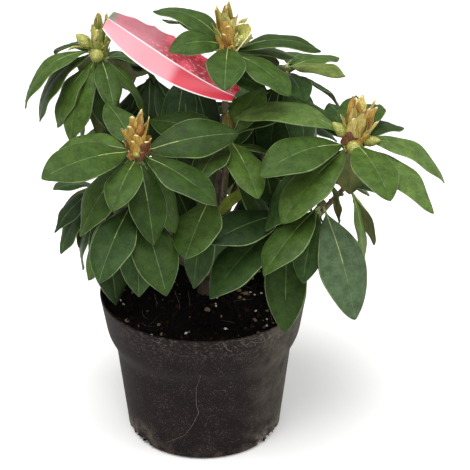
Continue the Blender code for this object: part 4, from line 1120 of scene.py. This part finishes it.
def makeBracts(materials):
    # Rings of bracts round each bud's axis, each turned, tilted, arched and sized a little at random
    rng = np.random.default_rng(budLook["seed"])
    rows = []
    for name in budTints:
        turn, lean, height, radius = shoots[name]["bud"]
        _, tip, _ = twigAxis(shoots[name])
        for ring, (count, share, rise, bend, width) in enumerate(budRings):
            tints = budTints[name][ring >= budLook["outerRing"]]
            for i in range(count):
                around = 360 * (i + 0.5 * (ring % 2)) / count + 20 + rng.uniform(*budLook["turn"])
                tilt = lean * math.cos(math.radians(around - turn))
                if ring == 0:
                    around, tilt = turn, lean
                long = height * share * rng.uniform(*budLook["length"])
                start = tip + compass(around, 0) * (0.12 * radius * ring * mm) - arr(0, 0, 1 * mm * ring)
                slope = rise - tilt + rng.uniform(*budLook["rise"])
                arch = bend + rng.uniform(*budLook["bend"])
                roll = rng.uniform(*budLook["roll"])
                broad = rng.uniform(*budLook["width"]) * width * radius / 12 / long
                row = (around, slope, arch, long, roll, broad)
                tint = tints[rng.integers(len(tints))]
                rows.append((start, row, (tint, ("rim", "none")[rng.integers(2)])))
        rows += [(tip - arr(0, 0, 1 * mm), row[:6], row[6:]) for row in looseBracts[name]]
    obj = bladePiece("budBracts", rows, bractForm, 3, materials, wearBract)
    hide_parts(*(f"foliage_{name}" for name in budTints))
    return obj


# Side buds: how many rows of scales, scales round each, how deep their steps are cut, and where in a step
# the pale edge and the rusty line begin
sideBudForm = {"rows": 30, "around": 30, "tiers": 3.4, "scales": 5, "step": 0.13, "edge": 0.72, "line": 0.9}


def makeSideBuds(materials):
    # Eggs whose scales overlap: radius = R sin(pi u^0.85)^0.75 with saw-toothed steps
    u = np.linspace(0.04, 0.97, sideBudForm["rows"])
    turnAt = np.linspace(0, 2 * math.pi, sideBudForm["around"], endpoint=False)
    zigzag = np.abs((turnAt * sideBudForm["scales"] / (2 * math.pi)) % 1 - 0.5)
    saw = (u[:, None] * sideBudForm["tiers"] + 0.8 * zigzag * 2) % 1
    slots = np.where(saw > sideBudForm["line"], 2, np.where(saw > sideBudForm["edge"], 1, 0))[:-1]
    rings, starts, ends = [], [], []
    for shoot in shoots.values():
        _, tip, _ = twigAxis(shoot)
        for turn, rise, distance, length, radius in shoot.get("sideBuds", ()):
            along = compass(turn, rise)
            centre = tip + along * distance * mm
            oval = np.sin(math.pi * u[:, None] ** 0.85) ** 0.75
            reach = radius * mm * oval * (0.88 + sideBudForm["step"] * saw)
            spine = centre + along * ((u - 0.5) * length * mm)[:, None]
            rings.append(spine[:, None] + raysAround(along, turnAt)[None] * reach[..., None])
            starts.append(centre - along * length / 2 * mm)
            ends.append(centre + along * length / 2 * mm)
    slots = np.concatenate([np.tile(slots.ravel(), len(rings)), np.zeros(len(rings) * 2 * len(turnAt))])
    shape = loft(np.array(rings), np.array(starts), np.array(ends))
    obj = makePiece("sideBuds", *shape, materials, slots=slots)
    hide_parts(*(f"foliage_{name}" for name in budTints))
    return obj


# Old limbs: rings along and points round the boughs and the stem, and how deep their bark is
limbLook = {
    "rows": 44, "around": 20, "inset": 0.15 * mm, "stemRows": 60, "stemAround": 40, "stemRelief": 1.4,
    "relief": 0.25 * mm, "ridge": 2.2 * mm, "grain": 1.1 * mm,
}


def barkRelief(where):
    # Ridges drawn out along the limb, over a finer grain
    ridges = smoothNoise(where * arr(1, 1, 0.35), limbLook["ridge"], 3)
    return limbLook["relief"] * (ridges + 0.5 * smoothNoise(where, limbLook["grain"], 8))


def makeLimbs(material):
    # The boughs and the stem, as circles carried along the frame's paths
    shares = np.linspace(0, 1, limbLook["rows"])
    paths = np.array([boughPath(shoot, shares) for shoot in shoots.values()])
    boughs = tubes(paths, boughRadii(shares) - limbLook["inset"], limbLook["around"], barkRelief)
    heights = np.linspace(0, stem["height"], limbLook["stemRows"])
    trunk = tubes(stemPoint(heights)[None], stemRadius(heights), limbLook["stemAround"],
                  lambda where: limbLook["stemRelief"] * barkRelief(where))
    obj = makePiece("barkLimbs", *joined(boughs, trunk), material)
    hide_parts("stem", *(f"bough_{name}" for name in shoots))
    return obj


# Twigs of the year, their leaf scars and their spurs, whose length is in mm
twigLook = {
    "seed": 8, "rows": 34, "around": 16, "inset": 0.1 * mm, "past": 1.5 * mm, "knobRadius": 1.5 * mm,
    "scar": 0.35 * mm, "scarSize": 3.5 * mm, "spurs": 3, "spurRows": 14, "spurAround": 8,
    "spurLength": (7, 12), "spurRadius": 0.75 * mm, "spurBud": 1.0 * mm,
}


def scars(where):
    # Leaf scars stand out as soft knobs
    return twigLook["scar"] * np.maximum(smoothNoise(where, twigLook["scarSize"], 5), 0)


def straight(feet, tips, t):
    # Straight paths: foot + (tip - foot) t
    feet, tips = np.array(feet), np.array(tips)
    return feet[:, None] + (tips - feet)[:, None] * t[:, None]


def makeTwigs(material):
    # Shoots with a swelling under the whorl, radius = taper + knob exp(-((1 - t) / 0.09)^2), and short side
    # spurs that end in a resting bud, radius = spur + bud exp(-((t - 0.78) / 0.14)^2)
    feet, tips, spurFeet, spurTips = [], [], [], []
    rng = np.random.default_rng(twigLook["seed"])
    for shoot in shoots.values():
        foot, tip, along = twigAxis(shoot)
        feet.append(foot)
        tips.append(tip + along * twigLook["past"])
        for i in range(twigLook["spurs"]):
            start = foot + (tip - foot) * rng.uniform(0.35, 0.9)
            heading = unit(compass(360 * i / twigLook["spurs"] + rng.uniform(0, 90), 20) + 0.8 * along)
            spurFeet.append(start)
            spurTips.append(start + heading * rng.uniform(*twigLook["spurLength"]) * mm)
    t = np.linspace(0, 1, twigLook["rows"])
    taper = bough["tipRadius"] + (bough["twigTipRadius"] - bough["tipRadius"]) * t
    knob = twigLook["knobRadius"] * np.exp(-((1 - t) / 0.09) ** 2)
    twigs = tubes(straight(feet, tips, t), taper + knob - twigLook["inset"], twigLook["around"], scars)
    t = np.linspace(0, 1, twigLook["spurRows"])
    swelling = twigLook["spurBud"] * np.exp(-((t - 0.78) / 0.14) ** 2)
    radii = (twigLook["spurRadius"] + swelling) * np.minimum((1.02 - t) * 8, 1)
    spurs = tubes(straight(spurFeet, spurTips, t), radii, twigLook["spurAround"])
    obj = makePiece("youngTwigs", *joined(twigs, spurs), material)
    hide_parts(*(f"foliage_{name}" for name in shoots))
    return obj


def turnedRings(profile, around):
    # A profile of (radius, height) turned about Z, from its foot on the axis up the outside
    turn = np.linspace(0, 2 * math.pi, around, endpoint=False)
    radius, height = profile[:, 0, None], profile[:, 1, None]
    return np.stack([radius * np.cos(turn), radius * np.sin(turn), height + 0 * turn], -1)


# What the frame's pot leaves plain: its lip, its bends and its waves as (length, height, seed)
potForm = {
    "around": 208, "lip": 0.9 * mm, "pole": 4 * mm, "bend": 3.5 * mm, "grid": 0.5 * mm, "sharp": 40,
    "waves": ((45 * mm, 0.25 * mm, 4), (14 * mm, 0.06 * mm, 9)), "trueBelow": 20 * mm, "meanRadius": 85 * mm,
}


def outerRadius(height):
    # Straight runs of the frame's pot, with its two bends rounded by a Gaussian
    fine = np.arange(-20, 170, potForm["grid"] / mm) * mm
    heights = arr(-20 * mm, pot["corner"], pot["shoulderHeight"], pot["collarHeight"], pot["height"],
                  170 * mm)
    slope = (pot["rimRadius"] - pot["collarRadius"]) / (pot["height"] - pot["collarHeight"])
    beyond = pot["rimRadius"] + slope * (170 * mm - pot["height"])
    radii = arr(pot["baseRadius"] - 2 * mm, pot["baseRadius"], pot["shoulderRadius"], pot["collarRadius"],
                pot["rimRadius"], beyond)
    sharp = np.interp(fine, heights, radii)
    kernel = np.exp(-0.5 * (np.arange(-20, 21) * potForm["grid"] / potForm["bend"]) ** 2)
    soft = np.convolve(np.pad(sharp, 20, mode="edge"), kernel / kernel.sum(), mode="valid")
    return np.interp(height, fine, soft)


def wallWobble(points):
    # A moulded wall is never quite true: slow waves and short ones, none at the foot
    waves = sum(smoothNoise(points, length, seed) * height for length, height, seed in potForm["waves"])
    return waves * np.clip(points[..., 2] / potForm["trueBelow"], 0, 1)


def rowOf(radius, height):
    # Points of a profile, (radius, height)
    return np.stack(np.broadcast_arrays(radius, height), -1).astype(float)


def makePot(material):
    # The profile from the foot up the outside, over the lip and down the inside, turned about Z
    corner, wall, lip, pole = pot["corner"], pot["wall"], potForm["lip"], potForm["pole"]
    edge = pot["height"] - lip
    angle = np.linspace(-math.pi / 2, 0, 8)
    radius = outerRadius(corner) - corner
    bottom = rowOf(radius + corner * np.cos(angle), corner + corner * np.sin(angle))
    flat = rowOf(np.linspace(pole, radius, 10)[:-1], 0)
    heights = np.linspace(corner, edge, 96)[1:]
    angle = np.linspace(0, math.pi, 9)[1:-1]
    top = rowOf(outerRadius(edge) - lip + lip * np.cos(angle), edge + lip * np.sin(angle))
    down = np.linspace(edge, pot["base"] + corner, 60)
    inside = rowOf(outerRadius(down) - wall, down)
    floor = rowOf(np.linspace(inside[-1, 0] - corner, pole, 8), pot["base"])
    profile = np.concatenate([flat, bottom, rowOf(outerRadius(heights), heights), top, inside, floor])
    rings = turnedRings(profile, potForm["around"])
    rings[..., :2] *= 1 + (wallWobble(rings) / potForm["meanRadius"])[..., None]
    skin = loft(rings[None], arr((0, 0, 0)), arr((0, 0, pot["base"])))
    obj = makePiece("nurseryPot", *skin, material)
    for turn in pot["drainTurns"]:
        cutDrain(obj, turn, material)
    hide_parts("pot")
    return obj


def cutDrain(obj, turn, material):
    # A drain opening: a box with rounded ends, |x/a|^4 + |y/b|^4 = 1, carried up through the corner
    depth, width, height = pot["drainSize"]
    t = np.linspace(0, 2 * math.pi, 48, endpoint=False)
    flatX = np.sign(np.cos(t)) * np.abs(np.cos(t)) ** 0.5 * depth / 2
    flatY = np.sign(np.sin(t)) * np.abs(np.sin(t)) ** 0.5 * width / 2
    levels = arr(-2 * mm, -1 * mm, height - 3 * mm, height - 1.8 * mm, height - 1.1 * mm)[:, None]
    shrink = arr(1, 1, 1, 0.97, 0.9)[:, None]
    ring = np.stack([pot["baseRadius"] + flatX * shrink, flatY * shrink, levels + 0 * t], -1)
    x, y = math.cos(math.radians(turn)), math.sin(math.radians(turn))
    ring = ring @ arr((x, y, 0), (-y, x, 0), (0, 0, 1))
    cutter = makePiece("drainCutter", *loft(ring[None], ring[:1].mean(1), ring[-1:].mean(1)), material)
    cut = obj.modifiers.new("drain", "BOOLEAN")
    cut.operation = "DIFFERENCE"
    cut.object = cutter
    mesh = bpy.data.meshes.new_from_object(obj.evaluated_get(bpy.context.evaluated_depsgraph_get()))
    obj.modifiers.clear()
    obj.data = mesh
    mesh.shade_smooth()
    mesh.set_sharp_from_angle(angle=math.radians(potForm["sharp"]))
    bpy.data.objects.remove(cutter)


# The filling's lumps as (size in mm, height in mm, seed), and how rough its side is as (size, depth, seed)
mixForm = {
    "lumps": ((24, 2.6, 2), (8, 1.5, 6), (3, 0.7, 7)), "sink": 1.0 * mm, "edge": 6 * mm, "around": 220,
    "sideRows": 40, "topRows": 90, "rough": (3 * mm, 0.4 * mm, 5), "meanRadius": 80 * mm,
}
# Loose crumbs: how many of each kind, sizes in mm, and those that bulge out of each drain opening
crumbs = {
    "seed": 13, "shares": {"peat": 520, "bark": 370, "red": 120, "straw": 52, "perlite": 30},
    "chipSize": (1.0, 4.4), "perliteSize": (0.7, 1.7), "width": (0.4, 0.9), "thickness": (0.25, 0.7),
    "knock": 0.25, "margin": 3 * mm, "proud": 0.15, "inDrain": 26,
    "drainShares": (0.2, 0.35, 0.1, 0.15, 0.2), "drainHeight": (3.2, 6.5), "drainSpread": 11,
    "drainSize": 3 * mm,
}


def mixTop(where):
    # Dome with three sizes of lumps, which die out at the wall
    radius = np.linalg.norm(where[..., :2], axis=-1)
    flat = where * arr(1, 1, 0)
    lumps = sum(height * smoothNoise(flat, size * mm, seed) for size, height, seed in mixForm["lumps"])
    fade = np.clip((mixEdge - radius) / mixForm["edge"], 0.2, 1)
    return mixHeight(radius) + lumps * mm * fade - mixForm["sink"]


def makeMix(material):
    # The pot's inside, 0.3 mm clear of it, under the lumpy dome
    radius = np.linspace(0, mixEdge, mixForm["topRows"])[:0:-1]
    low, high = pot["base"] + gap, pot["height"] - pot["mixDrop"] - 2 * mm
    heights = np.linspace(low, high, mixForm["sideRows"])
    side = rowOf(np.minimum(outerRadius(heights + 2 * mm) - pot["wall"] - gap, mixEdge), heights)
    side[0, 0] -= 4 * mm
    rings = turnedRings(np.concatenate([side, rowOf(radius, mixHeight(radius))]), mixForm["around"])
    rings[len(side):, :, 2] = mixTop(rings[len(side):])
    size, depth, seed = mixForm["rough"]
    rough = depth * (1 + smoothNoise(rings[:len(side)], size, seed)) / mixForm["meanRadius"]
    rings[:len(side), :, :2] *= 1 - rough[..., None]
    peak = mixTop(np.zeros((1, 3)))
    skin = loft(rings[None], arr((0, 0, low)), arr((0, 0, peak[0])))
    obj = makePiece("pottingMix", *skin, material)
    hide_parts("potting_mix")
    return obj


def randomTurns(rng, count):
    # Rotation matrices from random unit quaternions
    q = unit(rng.normal(size=(count, 4)))
    w, x, y, z = q.T
    return np.stack([
        np.stack([1 - 2 * (y * y + z * z), 2 * (x * y - w * z), 2 * (x * z + w * y)], -1),
        np.stack([2 * (x * y + w * z), 1 - 2 * (x * x + z * z), 2 * (y * z - w * x)], -1),
        np.stack([2 * (x * z - w * y), 2 * (y * z + w * x), 1 - 2 * (x * x + y * y)], -1)], -2)


def makeCrumbs(materials):
    # Broken lumps: a hexagon carried over three rings, stretched, knocked out of shape and turned at random.
    # The last of them bulge out of the drain openings
    rng = np.random.default_rng(crumbs["seed"])
    kind = np.repeat(np.arange(len(crumbs["shares"])), list(crumbs["shares"].values()))
    rng.shuffle(kind)
    inDrain = crumbs["inDrain"] * len(pot["drainTurns"])
    kind = np.concatenate([kind, rng.choice(len(crumbs["shares"]), inDrain, p=crumbs["drainShares"])])
    count = len(kind)
    white = kind == len(crumbs["shares"]) - 1
    least, most = crumbs["chipSize"]
    size = least + (rng.uniform(0, most - least, count)) ** 1.6 * 0.35
    size = np.where(white, rng.uniform(*crumbs["perliteSize"], count), size) * mm
    width, thickness = (rng.uniform(*crumbs[key], count) for key in ("width", "thickness"))
    stretch = np.where(white[:, None], 1.0, np.stack([np.ones(count), width, thickness], -1))
    level, reach = arr(-0.6, 0.0, 0.6), arr(0.75, 1.0, 0.7)
    knocked = 1 + crumbs["knock"] * rng.uniform(-1, 1, (count, 3, 6, 1))
    rings = turnedRings(np.stack([reach, level], -1), 6)[None] * knocked
    ends = np.tile(arr((0, 0, -1), (0, 0, 1)), (count, 1, 1))
    turns = randomTurns(rng, count)
    radius = (mixEdge - crumbs["margin"]) * np.sqrt(rng.uniform(0, 1, count))
    angle = rng.uniform(0, 2 * math.pi, count)
    place = np.stack([radius * np.cos(angle), radius * np.sin(angle), np.zeros(count)], -1)
    place[:, 2] = mixTop(place) + size * crumbs["proud"]
    # In the drain openings: against the mix, between the floor of the pot and the top of the opening
    size[-inDrain:] = np.minimum(size[-inDrain:], crumbs["drainSize"])
    drain = np.repeat(np.radians(pot["drainTurns"]), crumbs["inDrain"])
    drain = drain + np.radians(rng.uniform(-1, 1, inDrain) * crumbs["drainSpread"])
    height = rng.uniform(*crumbs["drainHeight"], inDrain) * mm
    out = outerRadius(height) - pot["wall"] - gap
    place[-inDrain:] = np.stack([out * np.cos(drain), out * np.sin(drain), height], -1)
    scale = size[:, None] * stretch
    rings = np.einsum("cij,cakj->caki", turns, rings * scale[:, None, None]) + place[:, None, None]
    ends = np.einsum("cij,ckj->cki", turns, ends * scale[:, None]) + place[:, None]
    slots = np.tile(np.repeat(kind, 12), 2)
    obj = makePiece("mixCrumbs", *loft(rings, ends[:, 0], ends[:, 1]), materials, smooth=False, slots=slots)
    return obj


# Fine dead roots and twigs, lengths in mm. Each of those on the wall is a row of (angle in degrees, height);
# each standing twig is (x, y, height, lean to the right)
fibres = {
    "lying": 9, "seed": 17, "radius": (0.09, 0.18), "half": (3, 10), "curl": (-0.4, 0.4), "lift": (0.4, 1.2),
    "margin": 14 * mm, "points": 24, "around": 6, "proud": 0.15 * mm, "sunk": 2 * mm, "sway": 1.2 * mm,
    "onWall": (
        ((-91, 101), (-94, 85), (-94, 62), (-93, 55), (-97, 40), (-104, 27), (-118, 14)),
        ((-79, 139), (-77, 132), (-73, 125)), ((-67, 139), (-61, 136), (-56, 138), (-53, 127)),
        ((-70, 139), (-66, 131), (-62, 134), (-59, 127)), ((-112, 139), (-114, 134), (-118, 135)),
        ((-62, 133), (-56, 129), (-50, 131)), ((-44, 128), (-38, 126), (-34, 129))),
    "standing": ((-44, -12, 16, 1), (-22, -22, 22, -2), (-14, -18, 18, 2), (60, -40, 12, 3)),
}


def makeFibres(material):
    # Each a gently curved thin tube with pointed ends
    rng = np.random.default_rng(fibres["seed"])
    count = fibres["lying"]
    t = np.linspace(-1, 1, fibres["points"])
    radius = (mixEdge - fibres["margin"]) * np.sqrt(rng.uniform(0, 1, count))
    angle = rng.uniform(0, 2 * math.pi, count)
    heading = rng.uniform(0, 2 * math.pi, count)
    half = rng.uniform(*fibres["half"], count) * mm
    curl = rng.uniform(*fibres["curl"], count)
    across = np.stack([-np.sin(heading), np.cos(heading)], -1)
    ahead = np.stack([np.cos(heading), np.sin(heading)], -1)
    centre = np.stack([radius * np.cos(angle), radius * np.sin(angle)], -1)
    flat = (centre[:, None] + ahead[:, None] * (half[:, None] * t)[..., None]
            + across[:, None] * (half[:, None] * curl[:, None] * t ** 2)[..., None])
    lying = np.concatenate([flat, np.zeros((count, len(t), 1))], -1)
    lying[..., 2] = mixTop(lying) + rng.uniform(*fibres["lift"], (count, 1)) * mm
    paths = [lying]
    share = (t + 1) / 2
    for row in fibres["onWall"]:
        bend = np.array(row, float)
        knots = np.linspace(0, 1, len(row))
        turn = np.radians(np.interp(share, knots, bend[:, 0])) + 0.006 * np.sin(share * 17)
        height = np.interp(share, knots, bend[:, 1]) * mm
        out = outerRadius(height)
        wall = np.stack([out * np.cos(turn), out * np.sin(turn), height], -1)
        wall[:, :2] *= (1 + (wallWobble(wall) + fibres["proud"]) / out)[:, None]
        paths.append(wall[None])
    for x, y, tall, lean in fibres["standing"]:
        foot = arr(x, y, 0) * mm
        foot[2] = mixTop(foot[None])[0] - fibres["sunk"]
        sway = arr(1, 0, 0) * (fibres["sway"] * np.sin(5 * share))[:, None]
        paths.append((foot + arr(lean, 0, tall) * mm * share[:, None] + sway)[None])
    paths = np.concatenate(paths)
    radii = rng.uniform(*fibres["radius"], (len(paths), 1)) * mm * (1 - 0.5 * np.abs(t))
    obj = makePiece("rootFibres", *tubes(paths, radii, fibres["around"]), material)
    return obj


# What the frame's card leaves plain: its thickness, how its upper edge is worn and how it waves, each as
# (size, depth, seed), and the loop's rounded section
cardForm = {
    "rows": 64, "columns": 21, "thickness": 0.8 * mm, "proud": 0.5 * mm, "worn": (5 * mm, 0.5 * mm, 3),
    "waves": (30 * mm, 0.5 * mm, 2), "loopAround": 40, "loopSection": 12, "loopInset": 1.1 * mm,
    "loopThickness": 0.7 * mm, "loopPlace": 0.9, "sharp": 50,
}


def makeCard(material):
    # The card's outline carried along its length, over the front and back again
    u = np.linspace(0, 1, cardForm["rows"])
    across = np.linspace(1, -1, cardForm["columns"])
    v = np.concatenate([across, across[::-1]])
    front = np.repeat(arr(1, 0), len(across))
    grid = np.zeros((1, len(u), len(v)))
    spot = cardPoint(u[:, None] + 0 * v, v[None] + 0 * u[:, None])
    size, depth, seed = cardForm["worn"]
    spot[..., 2] -= np.abs(smoothNoise(spot, size, seed) * depth * np.clip(v, 0, 1) ** 4)
    size, depth, seed = cardForm["waves"]
    spot[..., 1] += (0.5 - front) * cardForm["thickness"] + cardForm["proud"] + depth * smoothNoise(
        spot * arr(1, 0, 1), size, seed)
    skin = loft(spot[None], spot[:1].mean(1), spot[-1:].mean(1))
    place = [spread(grid + u[:, None], arr(0), arr(1)), spread(grid + v, arr(0), arr(0)),
             spread(grid + front, arr(1), arr(1))]
    # Loop round the twig: a band of rounded section turned about the twig's direction
    _, tip, along = twigAxis(shoots["top"])
    around, section = cardForm["loopAround"], cardForm["loopSection"]
    ray = raysAround(along, np.linspace(0, 2 * math.pi, around, endpoint=False))
    p = np.linspace(0, 2 * math.pi, section, endpoint=False)
    reach = card["loopRadius"] - cardForm["loopInset"] + cardForm["loopThickness"] * np.cos(p)
    rise = along * (card["loopHeight"] / 2 * 0.95 * np.sin(p))[:, None]
    band = (tip - along * card["loopDrop"] + ray[:, None] * reach[:, None] + rise).reshape(-1, 3)
    bandQuads = np.roll(quadTable(around + 1, section)[:, ::-1], 1, 1) % len(band)
    obj = makePiece("plantCard", *joined(skin, (band, bandQuads, np.zeros((0, 3), int))), material)
    plain = np.tile(arr(cardForm["loopPlace"], 0, 0), (len(band), 1))
    giveValue(obj, "place", np.concatenate([np.stack(place, -1), plain]))
    obj.data.set_sharp_from_angle(angle=math.radians(cardForm["sharp"]))
    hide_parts("label")
    return obj


# The photograph's view: raised by the elevation in degrees, with the lens and the sensor in mm
view = {
    "target": (29 * mm, 0.0, 196 * mm), "distance": 1.9, "elevation": 28.0, "lens": 160.85, "sensor": 36,
}


def makeCamera():
    # From the front: target + distance (0, -cos elevation, sin elevation)
    camera = bpy.data.cameras.new("camera")
    camera.lens = view["lens"]
    camera.sensor_width = view["sensor"]
    obj = bpy.data.objects.new("camera", camera)
    rise = math.radians(view["elevation"])
    target = Vector(view["target"])
    away = Vector((0, -math.cos(rise), math.sin(rise)))
    obj.location = target + away * view["distance"]
    obj.rotation_euler = away.to_track_quat("Z", "Y").to_euler()
    bpy.context.scene.collection.objects.link(obj)
    bpy.context.scene.camera = obj


# Soft lamps as (name, place, size, power), all aimed at one height over the origin
light = {
    "world": ("#ffffff", 0.54), "aim": (0, 0, 0.2),
    "lamps": (("softboxAbove", (-0.3, -0.4, 2.2), 2.6, 71), ("softboxRight", (2.2, -0.5, 1.5), 1.6, 25),
              ("softboxFront", (0.3, -2.4, 1.1), 1.2, 13)),
}


def makeLights():
    # Even light from all sides, and the round soft lamps
    world = bpy.data.worlds.new("studio")
    world.use_nodes = True
    color, strength = light["world"]
    feed(world.node_tree, world.node_tree.nodes["Background"], {"Color": color, "Strength": strength})
    bpy.context.scene.world = world
    for name, place, size, power in light["lamps"]:
        lamp = bpy.data.lights.new(name, "AREA")
        lamp.shape = "DISK"
        lamp.size = size
        lamp.energy = power
        obj = bpy.data.objects.new(name, lamp)
        obj.location = place
        obj.rotation_euler = (Vector(place) - Vector(light["aim"])).to_track_quat("Z", "Y").to_euler()
        bpy.context.scene.collection.objects.link(obj)
    bpy.context.scene.view_settings.view_transform = "Standard"


def makeFloor():
    # One wide level square under the pot
    points = arr((-1, -1, 0), (1, -1, 0), (1, 1, 0), (-1, 1, 0)) * floorLook["half"]
    material = makeMaterial("pale matt studio floor", floorLook, plainPattern, *floorLook["blotched"])
    floor = makePiece("floor", points, [(0, 1, 2, 3)], [], material)


makeCamera()
makeLights()
makeFloor()
print("studio ready")
chosenLeaves = settleLeaves()
print("leaves settled")
made = makeLeaves(chosenLeaves, leafMaterials())
stages = (
    (makeBracts, bractMaterials()), (makeSideBuds, sideBudMaterials()),
    (makeLimbs, makeMaterial("corky shrub bark old", barkLook, barkPattern, barkLook["old"])),
    (makeTwigs, makeMaterial("corky shrub bark young", barkLook, barkPattern, barkLook["young"])),
    (makePot, makeMaterial("moulded polypropylene", potLook, potPattern)),
    (makeMix, makeMaterial("damp peat potting mix", mixLook, mixPattern)),
    (makeCrumbs, [makeMaterial("torn crumb " + kind, crumbLook, crumbPattern, crumbLook["kinds"][kind])
                  for kind in crumbs["shares"]]),
    (makeFibres, makeMaterial("dry root fibre", rootLook, plainPattern, *rootLook["blotched"])),
    (makeCard, makeMaterial("printed satin plastic card", cardLook, cardPattern)),
)
for make, materials in stages:
    made.append(make(materials))
    print(made[-1].name, "with", len(made[-1].data.polygons), "faces")
for piece in made:
    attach(piece, "root")
print("pieces", len(made), "faces", sum(len(piece.data.polygons) for piece in made))
